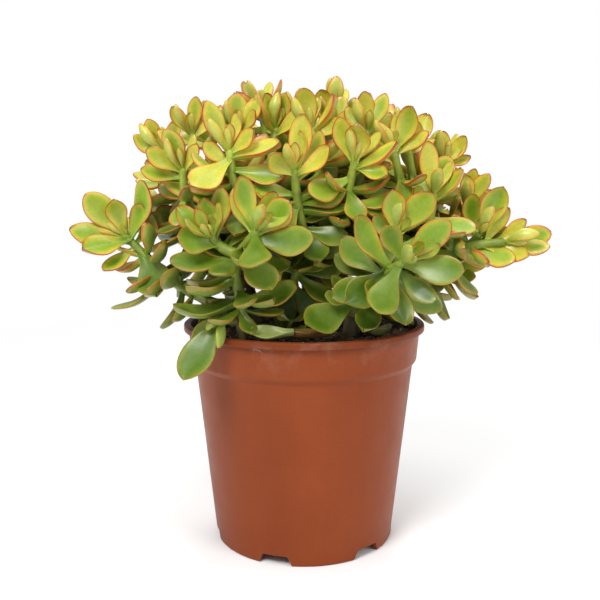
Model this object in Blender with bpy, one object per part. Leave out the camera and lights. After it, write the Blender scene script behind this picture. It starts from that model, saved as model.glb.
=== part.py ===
"""Potted jade plant: a succulent shrub of thick paired leaves in a nursery pot.

Metres, +Z up, the front is -Y. The pot's axis is the Z axis and its feet stand on Z = 0.
Woody trunks rise from the soil, green shoots leave them, and every shoot carries its own
leaves. A leaf keeps clear of every other shoot: where its preferred place is taken it
turns, lifts or stays smaller, and it is left out when no place is free.
"""

import math

import bmesh
import bpy
from mathutils import Matrix, Vector
from mathutils.bvhtree import BVHTree

MM = 0.001
GAP = 0.3 * MM  # between pieces that touch
FRONT = Vector((0.0, -0.97, 0.24))
UP_LEFT = Vector((-0.7, 0.1, 0.7))

# Pot, mm
POT_HEIGHT = 155.0
RIM_RADIUS = 85.0
RIM_DEPTH = 4.5
RIM_INNER_RADIUS = 80.2
BAND_TOP_RADIUS = 81.7
BAND_FOOT_RADIUS = 79.9
STEP_TOP = 130.0
STEP_FOOT = 126.5
WALL_TOP_RADIUS = 77.2
WALL_FOOT_RADIUS = 64.4
FOOT_RADIUS = 63.2
FOOT_ROUND = 1.6  # height of the sloped edge under the wall
FOOT_FLARE = 0.9
POT_WALL = 1.6
SKIRT_WALL = 2.4
FLOOR_UNDERSIDE = 7.6
POT_SIDES = 60

# Feet: what is left of the skirt between the notches
NOTCH_COUNT = 6
NOTCH_AZIMUTH = -18.0  # first notch, degrees from the front towards +X
NOTCH_FOOT_ANGLE = 22.0
NOTCH_TOP_ANGLE = 15.0
NOTCH_HEIGHT = 7.0
DRAIN_RADIUS = 5.0
DRAIN_CIRCLE = 50.0
DRAIN_SIDES = 8

# Soil, mm
SOIL_TOP = 152.0
SOIL_EDGE_TOP = 149.8
SOIL_FLAT_RADIUS = 68.0
SOIL_EDGE_FLARE = 0.8
SOIL_SIDES = 48

# Stems and leaves, mm
TRUNK_SIDES = 8
SHOOT_SIDES = 5
SHOOT_FOOT_RADIUS = 3.7
SHOOT_TIP_RADIUS = 2.6
THIN_STEMS = {"seedling": 0.4}  # share of the usual radius
LEAD = 4.2  # a side shoot leaves its parent squarely for this far
STEM_RINGS = 5
SOIL_STEM_RINGS = 8
TIP_REACH = 0.4  # share of a shoot's reach over which it follows its tip's direction
RING_TIP_REACH = 0.45
TOP_SHARE = 0.999  # from here on a shoot continues its parent instead of leaving its side
CURVE_STEPS = 8  # fine steps between two points that a curve passes through
LEAF_WIDTH_SHARE = 0.52
LEAST_LEAF = 17  # the young leaves at a tip, shorter than this, stay out of the solids
LEAF_THICKNESS = 4.4
LEAF_THICKNESS_SHARE = 0.135  # of the length, on leaves too short for the full thickness
LEAF_BOW = 0.07
LEAF_ROOT = 0.6  # a leaf starts this far from the middle of its stem
LEAST_DROP = 1.6
TIP_ZONE = 12  # leaves nearer to the tip than this open about its direction
CLEARANCE = 0.45

# Stations along a leaf, share of its length, with the half width as a share of its width
LEAF_STATIONS = ((0.0, 0.12), (0.35, 0.32), (0.7, 0.5), (0.96, 0.25))
LEAF_CROWN = 0.6

# A leaf's other places, tried in this order: share of its length, lift, turn
LEAF_SCALES = (1.0, 0.88, 0.74)
LEAF_LIFTS = (0, 10, -10, 20, -20)
LEAF_TURNS = (0, 12, -12, 24, -24)

# Trunks: foot x, y; top x, y, z; foot radius, top radius, mm
TRUNKS = {
    "trunk_centre": ((8, -22), (20, -26, 212), 5.6, 4.6),
    "trunk_centre_left": ((-8, -6), (-14, -20, 214), 5.2, 4.2),
    "trunk_left": ((-34, -14), (-58, -20, 196), 5.4, 4.4),
    "trunk_right": ((30, -42), (43, -60, 188), 5.2, 4.2),
    "trunk_right_back": ((42, 4), (76, -2, 200), 5.4, 4.4),
    "trunk_back": ((4, 36), (8, 44, 222), 5.4, 4.4),
    "trunk_back_left": ((-36, 34), (-62, 52, 204), 5.2, 4.2),
    "trunk_back_right": ((40, 46), (60, 66, 204), 5.2, 4.2),
}
TRUNK_BEND = 5.0
TRUNK_BEND_SHARE = 0.45  # how far up a trunk its bend is

# Shoots placed by hand. Each has its parent, how far up the parent it leaves, points on its
# way, its tip, the way the tip points (heading, lean) and its leaves. A heading is measured
# in the XZ plane from +X towards +Z, a lean from that plane towards the front. A leaf is
# (distance below the tip, heading, lean, length, width share, show): show 0 leaves its upper
# face square to the stem, as it grew, and show 1 has it twisted to face the front.
SHOOTS = {
    "shoot_front_left": (
        "soil", 0, ((-40, -60, 152), (-40, -62, 176), (-43, -65, 203)), (-28, -80, 224), (85, 45),
        ((0, 85, 40, 13, 0.4, 0.8), (3, 106, 12, 35, 0.48, 0.15), (6, 64, -10, 29, 0.48, 0.15),
         (6, 114, -12, 31, 0.48, 0.15), (8, 41, 15, 33, 0.6, 0.8), (10, 358, 22, 41, 0.48, 0.8),
         (4, 272, 58, 34, 0.6, 0.8), (16, 304, 35, 36, 0.58, 0.55), (28, 180, 12, 41, 0.48, 0.15),
         (28, 350, -20, 34, 0.5, 0.55), (56, 186, 18, 42, 0.48, 0.15), (57, 18, 8, 37, 0.5, 0.55),
         (60, 296, 42, 22, 0.5, 0.55)),
    ),
    "shoot_over_rim": (
        "shoot_front_left", 0.16, (), (-53, -63, 168), (220, 30),
        ((2, 236, 31, 50, 0.46, 0.8),),
    ),
    "shoot_left_of_front": (
        "shoot_front_left", 0.7, (), (-57, -70, 220), (110, 35),
        ((0, 118, 30, 22, 0.4, 0.8), (1, 80, 20, 16, 0.4, 0.8), (4, 138, 12, 30, 0.5, 0.8),
         (5, 82, 0, 33, 0.48, 0.15), (6, 100, 8, 28, 0.52, 0.8), (9, 166, 36, 29, 0.64, 0.8),
         (13, 130, -22, 32, 0.5, 0.8), (14, 50, -20, 28, 0.5, 0.55)),
    ),
    "shoot_front_right": (
        "trunk_right", 1.0, ((47, -74, 195),), (59, -90, 206), (80, 60),
        ((0, 48, 38, 21, 0.34, 0.8), (0, 75, 60, 11, 0.5, 0.8), (2, 115, 25, 27, 0.56, 0.8),
         (3, 46, 15, 38, 0.46, 0.8), (4, 356, 24, 38, 0.5, 0.8), (4, 242, 45, 43, 0.48, 0.8),
         (8, 320, 18, 31, 0.46, 0.8), (13, 284, 18, 34, 0.5, 0.8), (13, 127, 8, 39, 0.48, 0.15),
         (15, 213, 28, 34, 0.6, 0.55), (18, 331, -4, 42, 0.46, 0.55),
         (20, 142, -16, 34, 0.5, 0.55), (26, 303, -6, 32, 0.36, 0.15)),
    ),
    "shoot_right_of_front": (
        "trunk_right", 0.8, ((54, -66, 196),), (58, -60, 222), (75, 25),
        ((0, 58, 38, 16, 0.4, 0.8), (4, 57, 10, 35, 0.56, 0.8), (4, 96, 12, 31, 0.55, 0.8),
         (8, 128, 4, 23, 0.5, 0.8), (9, 10, 0, 30, 0.5, 0.8), (16, 176, 0, 30, 0.5, 0.55),
         (16, 350, 14, 30, 0.5, 0.55)),
    ),
    "shoot_left_outer": (
        "trunk_left", 0.38, ((-66, -29, 174), (-89, -23, 186)), (-123, -16, 217), (102, 35),
        ((0, 90, 40, 11, 0.4, 0.8), (2, 104, 24, 29, 0.58, 0.8), (3, 130, 14, 40, 0.58, 0.8),
         (3, 68, 15, 27, 0.52, 0.8), (5, 70, 12, 43, 0.48, 0.15), (4, 167, 12, 39, 0.5, 0.8),
         (8, 154, -18, 34, 0.5, 0.8), (9, 50, -22, 28, 0.5, 0.8), (15, 300, 40, 40, 0.62, 0.8),
         (16, 74, -12, 27, 0.46, 0.55), (20, 160, -6, 24, 0.48, 0.15),
         (36, 214, 10, 43, 0.44, 0.15), (34, 192, -20, 30, 0.48, 0.15),
         (44, 82, -8, 36, 0.48, 0.15)),
    ),
    "shoot_upper_left_front": (
        "trunk_centre_left", 0.93, ((-42, -50, 244),), (-47, -55, 273), (90, 35),
        ((1, 88, 26, 18, 0.46, 0.8), (3, 42, 24, 23, 0.58, 0.8), (4, 114, 12, 36, 0.45, 0.8),
         (6, 18, 20, 35, 0.48, 0.15), (6, 233, 40, 35, 0.62, 0.8), (10, 140, 10, 23, 0.56, 0.8),
         (12, 354, 10, 33, 0.5, 0.8), (14, 152, 0, 29, 0.48, 0.15), (26, 190, 20, 30, 0.5, 0.55),
         (28, 0, -10, 32, 0.5, 0.55)),
    ),
    "shoot_upper_left": (
        "trunk_left", 0.9, ((-76, -26, 236),), (-80, -30, 262), (125, 15),
        ((0, 120, 20, 14, 0.5, 0.8), (3, 147, 20, 28, 0.58, 0.8), (3, 106, 15, 30, 0.56, 0.8),
         (4, 66, 10, 22, 0.5, 0.8), (6, 166, 8, 28, 0.5, 0.8), (9, 158, -12, 28, 0.44, 0.8),
         (20, 132, -4, 26, 0.5, 0.55), (22, 340, 20, 28, 0.5, 0.55)),
    ),
    "shoot_left_top": (
        "trunk_left", 1.0, ((-84, -10, 242),), (-97, 0, 276), (112, 8),
        ((0, 100, 16, 14, 0.5, 0.8), (3, 116, 10, 25, 0.55, 0.8), (3, 70, 0, 24, 0.52, 0.8),
         (5, 150, -10, 27, 0.5, 0.8), (6, 60, -30, 26, 0.5, 0.8), (18, 178, -8, 28, 0.5, 0.55),
         (20, 190, 20, 26, 0.5, 0.55)),
    ),
    "shoot_top_left": (
        "shoot_upper_left", 0.55, (), (-76, -12, 286), (92, 8),
        ((0, 95, 15, 15, 0.5, 0.8), (3, 84, 10, 27, 0.5, 0.8), (3, 120, 14, 24, 0.5, 0.8),
         (4, 50, 4, 24, 0.5, 0.8), (6, 140, -24, 26, 0.5, 0.8)),
    ),
    "shoot_top_left_inner": (
        "shoot_upper_left_front", 0.5, (), (-43, -20, 287), (90, 8),
        ((0, 100, 22, 16, 0.5, 0.8), (3, 96, 4, 27, 0.7, 0.8), (3, 58, 6, 26, 0.6, 0.8),
         (3, 50, 26, 21, 0.5, 0.8), (6, 132, -10, 26, 0.5, 0.8)),
    ),
    "shoot_top_centre_left": (
        "trunk_centre_left", 1.0, ((-24, -16, 250),), (-19, -5, 290), (92, 5),
        ((0, 80, 18, 14, 0.5, 0.8), (3, 104, 4, 26, 0.5, 0.8), (3, 76, 4, 26, 0.55, 0.8),
         (4, 114, 26, 31, 0.48, 0.15), (6, 40, 20, 26, 0.5, 0.8), (24, 170, 12, 28, 0.5, 0.55),
         (26, 10, 8, 28, 0.5, 0.55)),
    ),
    "shoot_centre_front": (
        "trunk_centre", 0.72, ((-2, -48, 226),), (-7, -60, 261), (88, 25),
        ((0, 88, 24, 18, 0.44, 0.8), (4, 118, 30, 24, 0.64, 0.8), (5, 84, 0, 38, 0.48, 0.15),
         (5, 36, 20, 30, 0.46, 0.8), (8, 60, -12, 36, 0.48, 0.15), (16, 168, 6, 30, 0.5, 0.55),
         (20, 14, -10, 31, 0.5, 0.55), (34, 196, 20, 32, 0.5, 0.55), (36, 350, 24, 32, 0.5, 0.55)),
    ),
    "shoot_top_centre": (
        "trunk_centre", 1.0, ((12, -24, 250),), (4, -25, 288), (90, 8),
        ((0, 95, 20, 14, 0.5, 0.8), (3, 100, 10, 29, 0.66, 0.8), (4, 106, -10, 31, 0.48, 0.8),
         (4, 56, 4, 29, 0.48, 0.15), (6, 30, 20, 24, 0.5, 0.8)),
    ),
    "shoot_top_peak": (
        "shoot_top_centre", 0.45, (), (18, -2, 291), (86, 4),
        ((0, 80, 15, 15, 0.5, 0.8), (3, 106, 6, 28, 0.66, 0.8), (4, 74, -12, 27, 0.6, 0.8),
         (5, 50, 20, 22, 0.5, 0.8), (6, 140, -20, 24, 0.5, 0.8)),
    ),
    "shoot_centre_right": (
        "trunk_centre", 0.9, ((25, -38, 228), (28, -45, 246)), (32, -50, 267), (82, 35),
        ((2, 82, 32, 27, 0.72, 0.8), (4, 112, 4, 31, 0.5, 0.8), (5, 345, 32, 25, 0.52, 0.8),
         (7, 32, 16, 33, 0.48, 0.15), (11, 190, 26, 33, 0.6, 0.8), (27, 8, 12, 33, 0.48, 0.15),
         (31, 200, 10, 33, 0.58, 0.55), (33, 20, -30, 30, 0.5, 0.55)),
    ),
    "shoot_top_right_inner": (
        "shoot_centre_right", 0.5, (), (41, -24, 287), (86, 8),
        ((0, 78, 30, 16, 0.44, 0.8), (3, 94, 14, 28, 0.6, 0.8), (3, 66, 0, 29, 0.5, 0.8),
         (5, 128, 4, 24, 0.5, 0.8), (5, 40, -20, 26, 0.5, 0.8)),
    ),
    "shoot_top_right": (
        "trunk_right_back", 0.85, ((64, -30, 244),), (57, -36, 275), (80, 12),
        ((0, 90, 30, 14, 0.5, 0.8), (3, 68, 15, 31, 0.6, 0.8), (5, 38, 15, 26, 0.44, 0.8),
         (4, 120, 10, 22, 0.5, 0.8), (24, 0, 20, 30, 0.5, 0.55), (26, 190, 10, 28, 0.5, 0.55)),
    ),
    "shoot_top_right_outer": (
        "trunk_right_back", 1.0, ((76, -10, 240),), (70, -14, 275), (80, 6),
        ((0, 80, 26, 13, 0.5, 0.8), (3, 78, 15, 23, 0.66, 0.8), (4, 68, -10, 30, 0.62, 0.8),
         (4, 36, 10, 20, 0.4, 0.8), (5, 128, 0, 24, 0.5, 0.8), (26, 178, 0, 28, 0.5, 0.55),
         (28, 4, 0, 28, 0.5, 0.55)),
    ),
    "shoot_right_crown": (
        "trunk_right_back", 0.95, ((92, 2, 238),), (97, 1, 268), (76, 4),
        ((0, 80, 22, 13, 0.5, 0.8), (3, 92, 10, 23, 0.5, 0.8), (3, 48, 10, 24, 0.56, 0.8),
         (4, 18, 0, 20, 0.44, 0.8), (5, 130, -10, 24, 0.5, 0.8)),
    ),
    "shoot_right_front": (
        "trunk_right_back", 0.62, ((78, -36, 214),), (83, -45, 246), (82, 25),
        ((1, 85, 28, 18, 0.46, 0.8), (4, 97, 10, 37, 0.44, 0.8), (4, 70, -12, 30, 0.66, 0.8),
         (6, 50, 12, 28, 0.48, 0.15), (8, 140, 26, 20, 0.58, 0.8), (15, 188, 4, 29, 0.5, 0.55),
         (15, 346, 6, 30, 0.5, 0.55), (32, 190, 0, 30, 0.5, 0.55)),
    ),
    "shoot_right_top": (
        "shoot_right_crown", 0.4, (), (112, -6, 237), (78, 12),
        ((0, 90, 20, 14, 0.5, 0.8), (3, 104, 14, 24, 0.56, 0.8), (4, 80, -8, 30, 0.48, 0.15),
         (4, 64, 10, 30, 0.44, 0.8), (6, 128, -16, 24, 0.5, 0.8), (8, 44, -6, 27, 0.44, 0.8)),
    ),
    "shoot_right_outer": (
        "trunk_right_back", 0.56, ((99, -24, 199),), (117, -34, 220), (55, 15),
        ((0, 60, 25, 14, 0.5, 0.8), (4, 67, 15, 37, 0.54, 0.8), (5, 98, 0, 29, 0.56, 0.8),
         (6, 44, -10, 28, 0.48, 0.8), (8, 20, 10, 28, 0.44, 0.8), (10, 124, 12, 24, 0.5, 0.8),
         (11, 348, 26, 34, 0.58, 0.8), (22, 200, 10, 30, 0.5, 0.55)),
    ),
    "shoot_far_right": (
        "shoot_right_outer", 0.45, (), (132, -42, 214), (10, 15),
        ((1, 22, 30, 18, 0.38, 0.8), (3, 14, 6, 31, 0.58, 0.8), (3, 354, 20, 30, 0.46, 0.8),
         (6, 40, 14, 24, 0.44, 0.8), (12, 60, 0, 28, 0.5, 0.8), (14, 340, 6, 32, 0.5, 0.8),
         (22, 352, 34, 34, 0.56, 0.8), (24, 78, 8, 26, 0.5, 0.55)),
    ),
    "shoot_right_low": (
        "trunk_right_back", 0.3, ((76, 4, 180),), (96, 2, 197), (20, 15),
        ((1, 20, 20, 18, 0.5, 0.8), (3, 6, 8, 38, 0.5, 0.8), (5, 14, -16, 37, 0.46, 0.8),
         (6, 46, -6, 31, 0.5, 0.8), (7, 350, 24, 32, 0.46, 0.8), (12, 90, 10, 26, 0.5, 0.8)),
    ),
    "shoot_centre_low": (
        "trunk_right", 0.5, (), (32, -64, 180), (120, 55),
        ((2, 205, 25, 39, 0.58, 0.8), (3, 28, 8, 26, 0.48, 0.15), (4, 140, 0, 22, 0.4, 0.8)),
    ),
    "seedling": (
        "soil", 0, ((-10, -48, 152), (-10, -49, 158)), (-8, -51, 164), (70, 30),
        ((2, 30, 20, 12, 0.5, 0.3), (2, 150, 10, 12, 0.5, 0.3), (7, 10, 30, 13, 0.5, 0.3),
         (7, 200, 30, 13, 0.5, 0.3)),
    ),
    "shoot_centre_dark": (
        "trunk_centre_left", 0.55, (), (-4, -44, 196), (70, 40),
        ((2, 10, 10, 34, 0.46, 0.8), (3, 150, 20, 32, 0.5, 0.8), (5, 325, 24, 33, 0.48, 0.15),
         (7, 215, 10, 30, 0.5, 0.8)),
    ),
}

# Older pairs, lower on a shoot's stem: distance below the tip, tilt from the stem, length.
# A pair is left out where the shoot already has a leaf at that height.
OLD_PAIRS = ((21, 92, 33),)
OLD_PAIR_SPACE = 6

# Leaves that have dropped: base, tip, way that the upper face looks, width share
FALLEN_LEAVES = {
    "fallen_leaf_pale": ((-6, -71, 158.2), (-33, -70, 158.2), (0.0, -0.5, 0.86), 0.46),
    "fallen_leaf_red": ((18, -60, 156.0), (-9, -66, 156.0), (0.0, -0.1, 0.99), 0.4),
    "fallen_leaf_olive": ((58, -36, 155.4), (44, -54, 155.4), (0.0, -0.05, 0.99), 0.5),
}

# The far side and the flanks: rings of shoots, each (height, ring radius, first azimuth,
# last azimuth, count, tilt of the tip from upright). Azimuths run from +X through +Y. Each
# shoot leaves whichever of the parents gives it the shortest way that is free.
RINGS = (
    (300, 34, 50, 150, 3, 8),
    (288, 71, 24, 166, 5, 20),
    (262, 94, 14, 166, 6, 36),
    (225, 120, 22, 156, 6, 54),
)
RING_DEPTH_SHARE = 0.79  # the crown is less deep than it is wide
RING_STAGGER = 4  # neighbours on a ring stand this much above and below its height
RING_PARENTS = ("trunk_back", "trunk_back_left", "trunk_back_right", "trunk_left",
                "trunk_right_back", "trunk_centre_left")
RING_PARENT_SHARES = (1.0, 0.93, 0.86, 0.79, 0.72, 0.65, 0.58, 0.5, 0.42)
PAIR_PHASE = 40.0  # turn of the first pair from one shoot to the next
LOW_START_COST = 20  # mm: how much longer than one from a trunk's foot a way from its top may be

# Leaf pairs of a ring shoot: distance below the tip, tilt from the stem, length
RING_PAIRS = ((0, 18, 15), (3, 34, 27), (7, 56, 33), (12, 78, 35), (26, 92, 33))

POT_COLOUR = (0.36, 0.088, 0.036)
POT_ROUGHNESS = 0.42
SOIL_COLOUR = (0.035, 0.022, 0.014)
SOIL_ROUGHNESS = 0.95
BARK_COLOUR = (0.075, 0.052, 0.03)
BARK_ROUGHNESS = 0.8
LOW_LEAF_COLOUR = (0.09, 0.22, 0.03)
TOP_LEAF_COLOUR = (0.52, 0.52, 0.08)
LOW_COLOUR_HEIGHT = 180  # shoots whose tips are this low have the low colour
COLOUR_RISE = 110  # and those this much higher have the top colour
LEAF_ROUGHNESS = 0.38
OLD_LEAF_COLOUR = (0.16, 0.14, 0.05)
OLD_LEAF_ROUGHNESS = 0.5

placed = []  # (owner, box, tree) of every solid that the growth must keep clear of
stems = {}  # name of a trunk or shoot: its centre line and radii


def clear_scene():
    for obj in list(bpy.data.objects):
        bpy.data.objects.remove(obj, do_unlink=True)


def paint(obj, colour, roughness):
    material = bpy.data.materials.new(obj.name)
    material.use_nodes = True
    shader = material.node_tree.nodes["Principled BSDF"]
    shader.inputs["Base Color"].default_value = (*colour, 1.0)
    shader.inputs["Roughness"].default_value = roughness
    shader.inputs["Metallic"].default_value = 0.0
    obj.data.materials.append(material)


def add_object(name, verts, faces, smooth_angle=None):
    mesh = bpy.data.meshes.new(name)
    mesh.from_pydata([tuple(v) for v in verts], [], faces)
    work = bmesh.new()
    work.from_mesh(mesh)
    bmesh.ops.recalc_face_normals(work, faces=work.faces)
    work.to_mesh(mesh)
    work.free()
    if smooth_angle is not None:
        mesh.shade_smooth()
        mesh.set_sharp_from_angle(angle=math.radians(smooth_angle))
    obj = bpy.data.objects.new(name, mesh)
    bpy.context.scene.collection.objects.link(obj)
    return obj


def direction(heading, lean):
    h = math.radians(heading)
    b = math.radians(lean)
    return Vector((math.cos(b) * math.cos(h), -math.sin(b), math.cos(b) * math.sin(h)))


# ---------------------------------------------------------------- solids of revolution


def spin(profile, sides):
    """Closed profile of (radius, z) in mm, turned about Z."""
    verts = []
    for i in range(sides):
        turn = 2 * math.pi * i / sides
        verts += [Vector((r * math.sin(turn), -r * math.cos(turn), z)) * MM for r, z in profile]
    count = len(profile)
    faces = []
    for i in range(sides):
        here = i * count
        there = (i + 1) % sides * count
        for j in range(count):
            k = (j + 1) % count
            faces.append((here + j, here + k, there + k, there + j))
    return verts, faces


def pot_profile():
    wall_slope = (WALL_TOP_RADIUS - WALL_FOOT_RADIUS) / (STEP_FOOT - FLOOR_UNDERSIDE)
    floor_top = FLOOR_UNDERSIDE + POT_WALL
    inner_foot = WALL_FOOT_RADIUS - POT_WALL + wall_slope * POT_WALL
    return [
        (FOOT_RADIUS - SKIRT_WALL, 0),
        (FOOT_RADIUS, 0),
        (FOOT_RADIUS + FOOT_FLARE, FOOT_ROUND),
        (WALL_FOOT_RADIUS, FLOOR_UNDERSIDE),
        (WALL_TOP_RADIUS, STEP_FOOT),
        (BAND_FOOT_RADIUS, STEP_TOP),
        (BAND_TOP_RADIUS, POT_HEIGHT - RIM_DEPTH),
        (RIM_RADIUS, POT_HEIGHT - RIM_DEPTH),
        (RIM_RADIUS, POT_HEIGHT),
        (RIM_INNER_RADIUS, POT_HEIGHT),
        (BAND_FOOT_RADIUS - POT_WALL, STEP_TOP),
        (WALL_TOP_RADIUS - POT_WALL, STEP_FOOT),
        (inner_foot, floor_top),
    ]


def make_pot():
    """The wall and the floor are one piece: the profile closes over the axis as a flat floor."""
    profile = pot_profile()
    verts, faces = spin(profile, POT_SIDES)
    count = len(profile)
    faces = [f for f in faces if not {f[0] % count, f[1] % count} == {count - 1, 0}]
    underside_ring = len(verts)
    inner_skirt = FOOT_RADIUS - SKIRT_WALL
    for i in range(POT_SIDES):
        turn = 2 * math.pi * i / POT_SIDES
        verts.append(Vector((inner_skirt * math.sin(turn), -inner_skirt * math.cos(turn),
                             FLOOR_UNDERSIDE)) * MM)
    for i in range(POT_SIDES):
        j = (i + 1) % POT_SIDES
        faces.append((underside_ring + i, i * count, j * count, underside_ring + j))
    faces.append(tuple(underside_ring + i for i in range(POT_SIDES)))
    faces.append(tuple(i * count + count - 1 for i in range(POT_SIDES)))
    pot = add_object("pot", verts, faces, smooth_angle=30)
    paint(pot, POT_COLOUR, POT_ROUGHNESS)
    cutters = []
    for i in range(NOTCH_COUNT):
        azimuth = NOTCH_AZIMUTH + i * 360 / NOTCH_COUNT
        cutters.append(notch_cutter(azimuth))
        cutters.append(drain_cutter(azimuth))
    for cutter in cutters:
        cutter.hide_render = True
        cutter.display_type = "WIRE"
        cut = pot.modifiers.new(cutter.name, "BOOLEAN")
        cut.operation = "DIFFERENCE"
        cut.object = cutter
    return verts, faces


def notch_cutter(azimuth):
    """A block across the skirt, narrower at its top than at the floor it stands on."""
    verts = []
    for radius in (FOOT_RADIUS - 3 * SKIRT_WALL, FOOT_RADIUS + 3 * SKIRT_WALL):
        for angle, z in ((NOTCH_FOOT_ANGLE, -1.0), (NOTCH_TOP_ANGLE, NOTCH_HEIGHT)):
            for side in (-0.5, 0.5):
                turn = math.radians(azimuth + side * angle)
                verts.append(Vector((radius * math.sin(turn), -radius * math.cos(turn), z)) * MM)
    faces = [(0, 1, 3, 2), (4, 6, 7, 5), (0, 4, 5, 1), (2, 3, 7, 6), (0, 2, 6, 4), (1, 5, 7, 3)]
    return add_object(f"notch_cutter_{azimuth:.0f}", verts, faces)


def drain_cutter(azimuth):
    work = bmesh.new()
    turn = math.radians(azimuth)
    centre = Vector((DRAIN_CIRCLE * math.sin(turn), -DRAIN_CIRCLE * math.cos(turn),
                     FLOOR_UNDERSIDE)) * MM
    bmesh.ops.create_cone(work, cap_ends=True, segments=DRAIN_SIDES, radius1=DRAIN_RADIUS * MM,
                          radius2=DRAIN_RADIUS * MM, depth=4 * POT_WALL * MM,
                          matrix=Matrix.Translation(centre))
    mesh = bpy.data.meshes.new(f"drain_cutter_{azimuth:.0f}")
    work.to_mesh(mesh)
    work.free()
    obj = bpy.data.objects.new(mesh.name, mesh)
    bpy.context.scene.collection.objects.link(obj)
    return obj


def make_soil():
    gap = GAP / MM
    floor_top = FLOOR_UNDERSIDE + POT_WALL
    inner = pot_profile()
    foot = inner[12][0] - gap
    step = inner[11][0] - gap
    band = inner[10][0] - gap
    profile = [
        (0, floor_top + gap),
        (foot, floor_top + gap),
        (step, STEP_FOOT),
        (band, STEP_TOP + gap),
        (band + SOIL_EDGE_FLARE, SOIL_EDGE_TOP),
        (SOIL_FLAT_RADIUS, SOIL_TOP),
        (0, SOIL_TOP),
    ]
    verts, faces = spin(profile[1:-1], SOIL_SIDES)
    count = len(profile) - 2
    faces = [f for f in faces if not {f[0] % count, f[1] % count} == {count - 1, 0}]
    faces.append(tuple(i * count for i in range(SOIL_SIDES)))
    faces.append(tuple(i * count + count - 1 for i in range(SOIL_SIDES)))
    soil = add_object("soil", verts, faces, smooth_angle=30)
    paint(soil, SOIL_COLOUR, SOIL_ROUGHNESS)
    return verts, faces


# ---------------------------------------------------------------- stems


def curve_through(points, rings):
    """Even steps along a Catmull-Rom curve through the points."""
    ends = [2 * points[0] - points[1]] + points + [2 * points[-1] - points[-2]]
    fine = []
    for i in range(1, len(ends) - 2):
        a, b, c, d = ends[i - 1], ends[i], ends[i + 1], ends[i + 2]
        for k in range(CURVE_STEPS):
            t = k / CURVE_STEPS
            fine.append(0.5 * (2 * b + (c - a) * t + (2 * a - 5 * b + 4 * c - d) * t * t
                               + (3 * b - a - 3 * c + d) * t ** 3))
    fine.append(points[-1])
    along = [0.0]
    for p, q in zip(fine, fine[1:]):
        along.append(along[-1] + (q - p).length)
    line = []
    step = 0
    for k in range(rings):
        want = along[-1] * k / (rings - 1)
        while step < len(fine) - 2 and along[step + 1] < want:
            step += 1
        span = along[step + 1] - along[step]
        line.append(fine[step].lerp(fine[step + 1], (want - along[step]) / span))
    return line


def tangent_at(line, i):
    return (line[min(i + 1, len(line) - 1)] - line[max(i - 1, 0)]).normalized()


def along_stem(name, share):
    """Point and tangent at a share of a stem's rings."""
    line = stems[name][0]
    where = share * (len(line) - 1)
    i = min(int(where), len(line) - 2)
    return line[i].lerp(line[i + 1], where - i), (line[i + 1] - line[i]).normalized()


def radius_along(name, share):
    _, foot_radius, tip_radius = stems[name]
    return foot_radius + (tip_radius - foot_radius) * share


def tube(line, foot_radius, tip_radius, sides):
    """Closed tube about a centre line."""
    verts = []
    side = Vector((0, 1, 0)).cross(tangent_at(line, 0))
    if side.length < 0.1:
        side = Vector((1, 0, 0))
    for i, point in enumerate(line):
        tangent = tangent_at(line, i)
        side = (side - side.dot(tangent) * tangent).normalized()
        up = tangent.cross(side)
        radius = foot_radius + (tip_radius - foot_radius) * i / (len(line) - 1)
        for k in range(sides):
            turn = 2 * math.pi * k / sides
            verts.append(point + radius * (math.cos(turn) * side + math.sin(turn) * up))
    faces = [tuple(range(sides)), tuple(range(len(verts) - sides, len(verts)))]
    for i in range(len(line) - 1):
        for k in range(sides):
            n = (k + 1) % sides
            faces.append((i * sides + k, i * sides + n, (i + 1) * sides + n, (i + 1) * sides + k))
    return verts, faces


# ---------------------------------------------------------------- keeping clear


def tree_of(verts, faces):
    box = [min(v[i] for v in verts) for i in range(3)], [max(v[i] for v in verts) for i in range(3)]
    return box, BVHTree.FromPolygons(verts, faces)


def keep_clear_of(owner, verts, faces):
    box, tree = tree_of(verts, faces)
    placed.append((owner, box, tree))


def blocked(verts, faces, owners):
    """The name of a solid that this one crosses and that belongs to none of these owners."""
    (low, high), tree = tree_of(verts, faces)
    for other, (other_low, other_high), other_tree in placed:
        if other in owners:
            continue
        if any(low[i] > other_high[i] or high[i] < other_low[i] for i in range(3)):
            continue
        if tree.overlap(other_tree):
            return other
    return None


# ---------------------------------------------------------------- trunks


def make_trunks():
    for name, ((x, y), top, foot_radius, top_radius) in TRUNKS.items():
        foot = Vector((x, y, SOIL_TOP)) * MM + Vector((0, 0, GAP))
        top = Vector(top) * MM
        outward = Vector((top.x - foot.x, top.y - foot.y, 0)).normalized()
        middle = foot.lerp(top, TRUNK_BEND_SHARE) - outward * TRUNK_BEND * MM
        line = curve_through([foot, middle, top], STEM_RINGS)
        verts, faces = tube(line, foot_radius * MM, top_radius * MM, TRUNK_SIDES)
        verts = flat_foot(verts, TRUNK_SIDES, foot.z)
        stems[name] = (line, foot_radius * MM, top_radius * MM)
        keep_clear_of(name, verts, faces)
        trunk = add_object(name, verts, faces, smooth_angle=50)
        paint(trunk, BARK_COLOUR, BARK_ROUGHNESS)


def flat_foot(verts, sides, level):
    """The tube's first ring, brought level so that it stands on the soil."""
    return [Vector((v.x, v.y, level)) if i < sides else v for i, v in enumerate(verts)]


# ---------------------------------------------------------------- leaves


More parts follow.
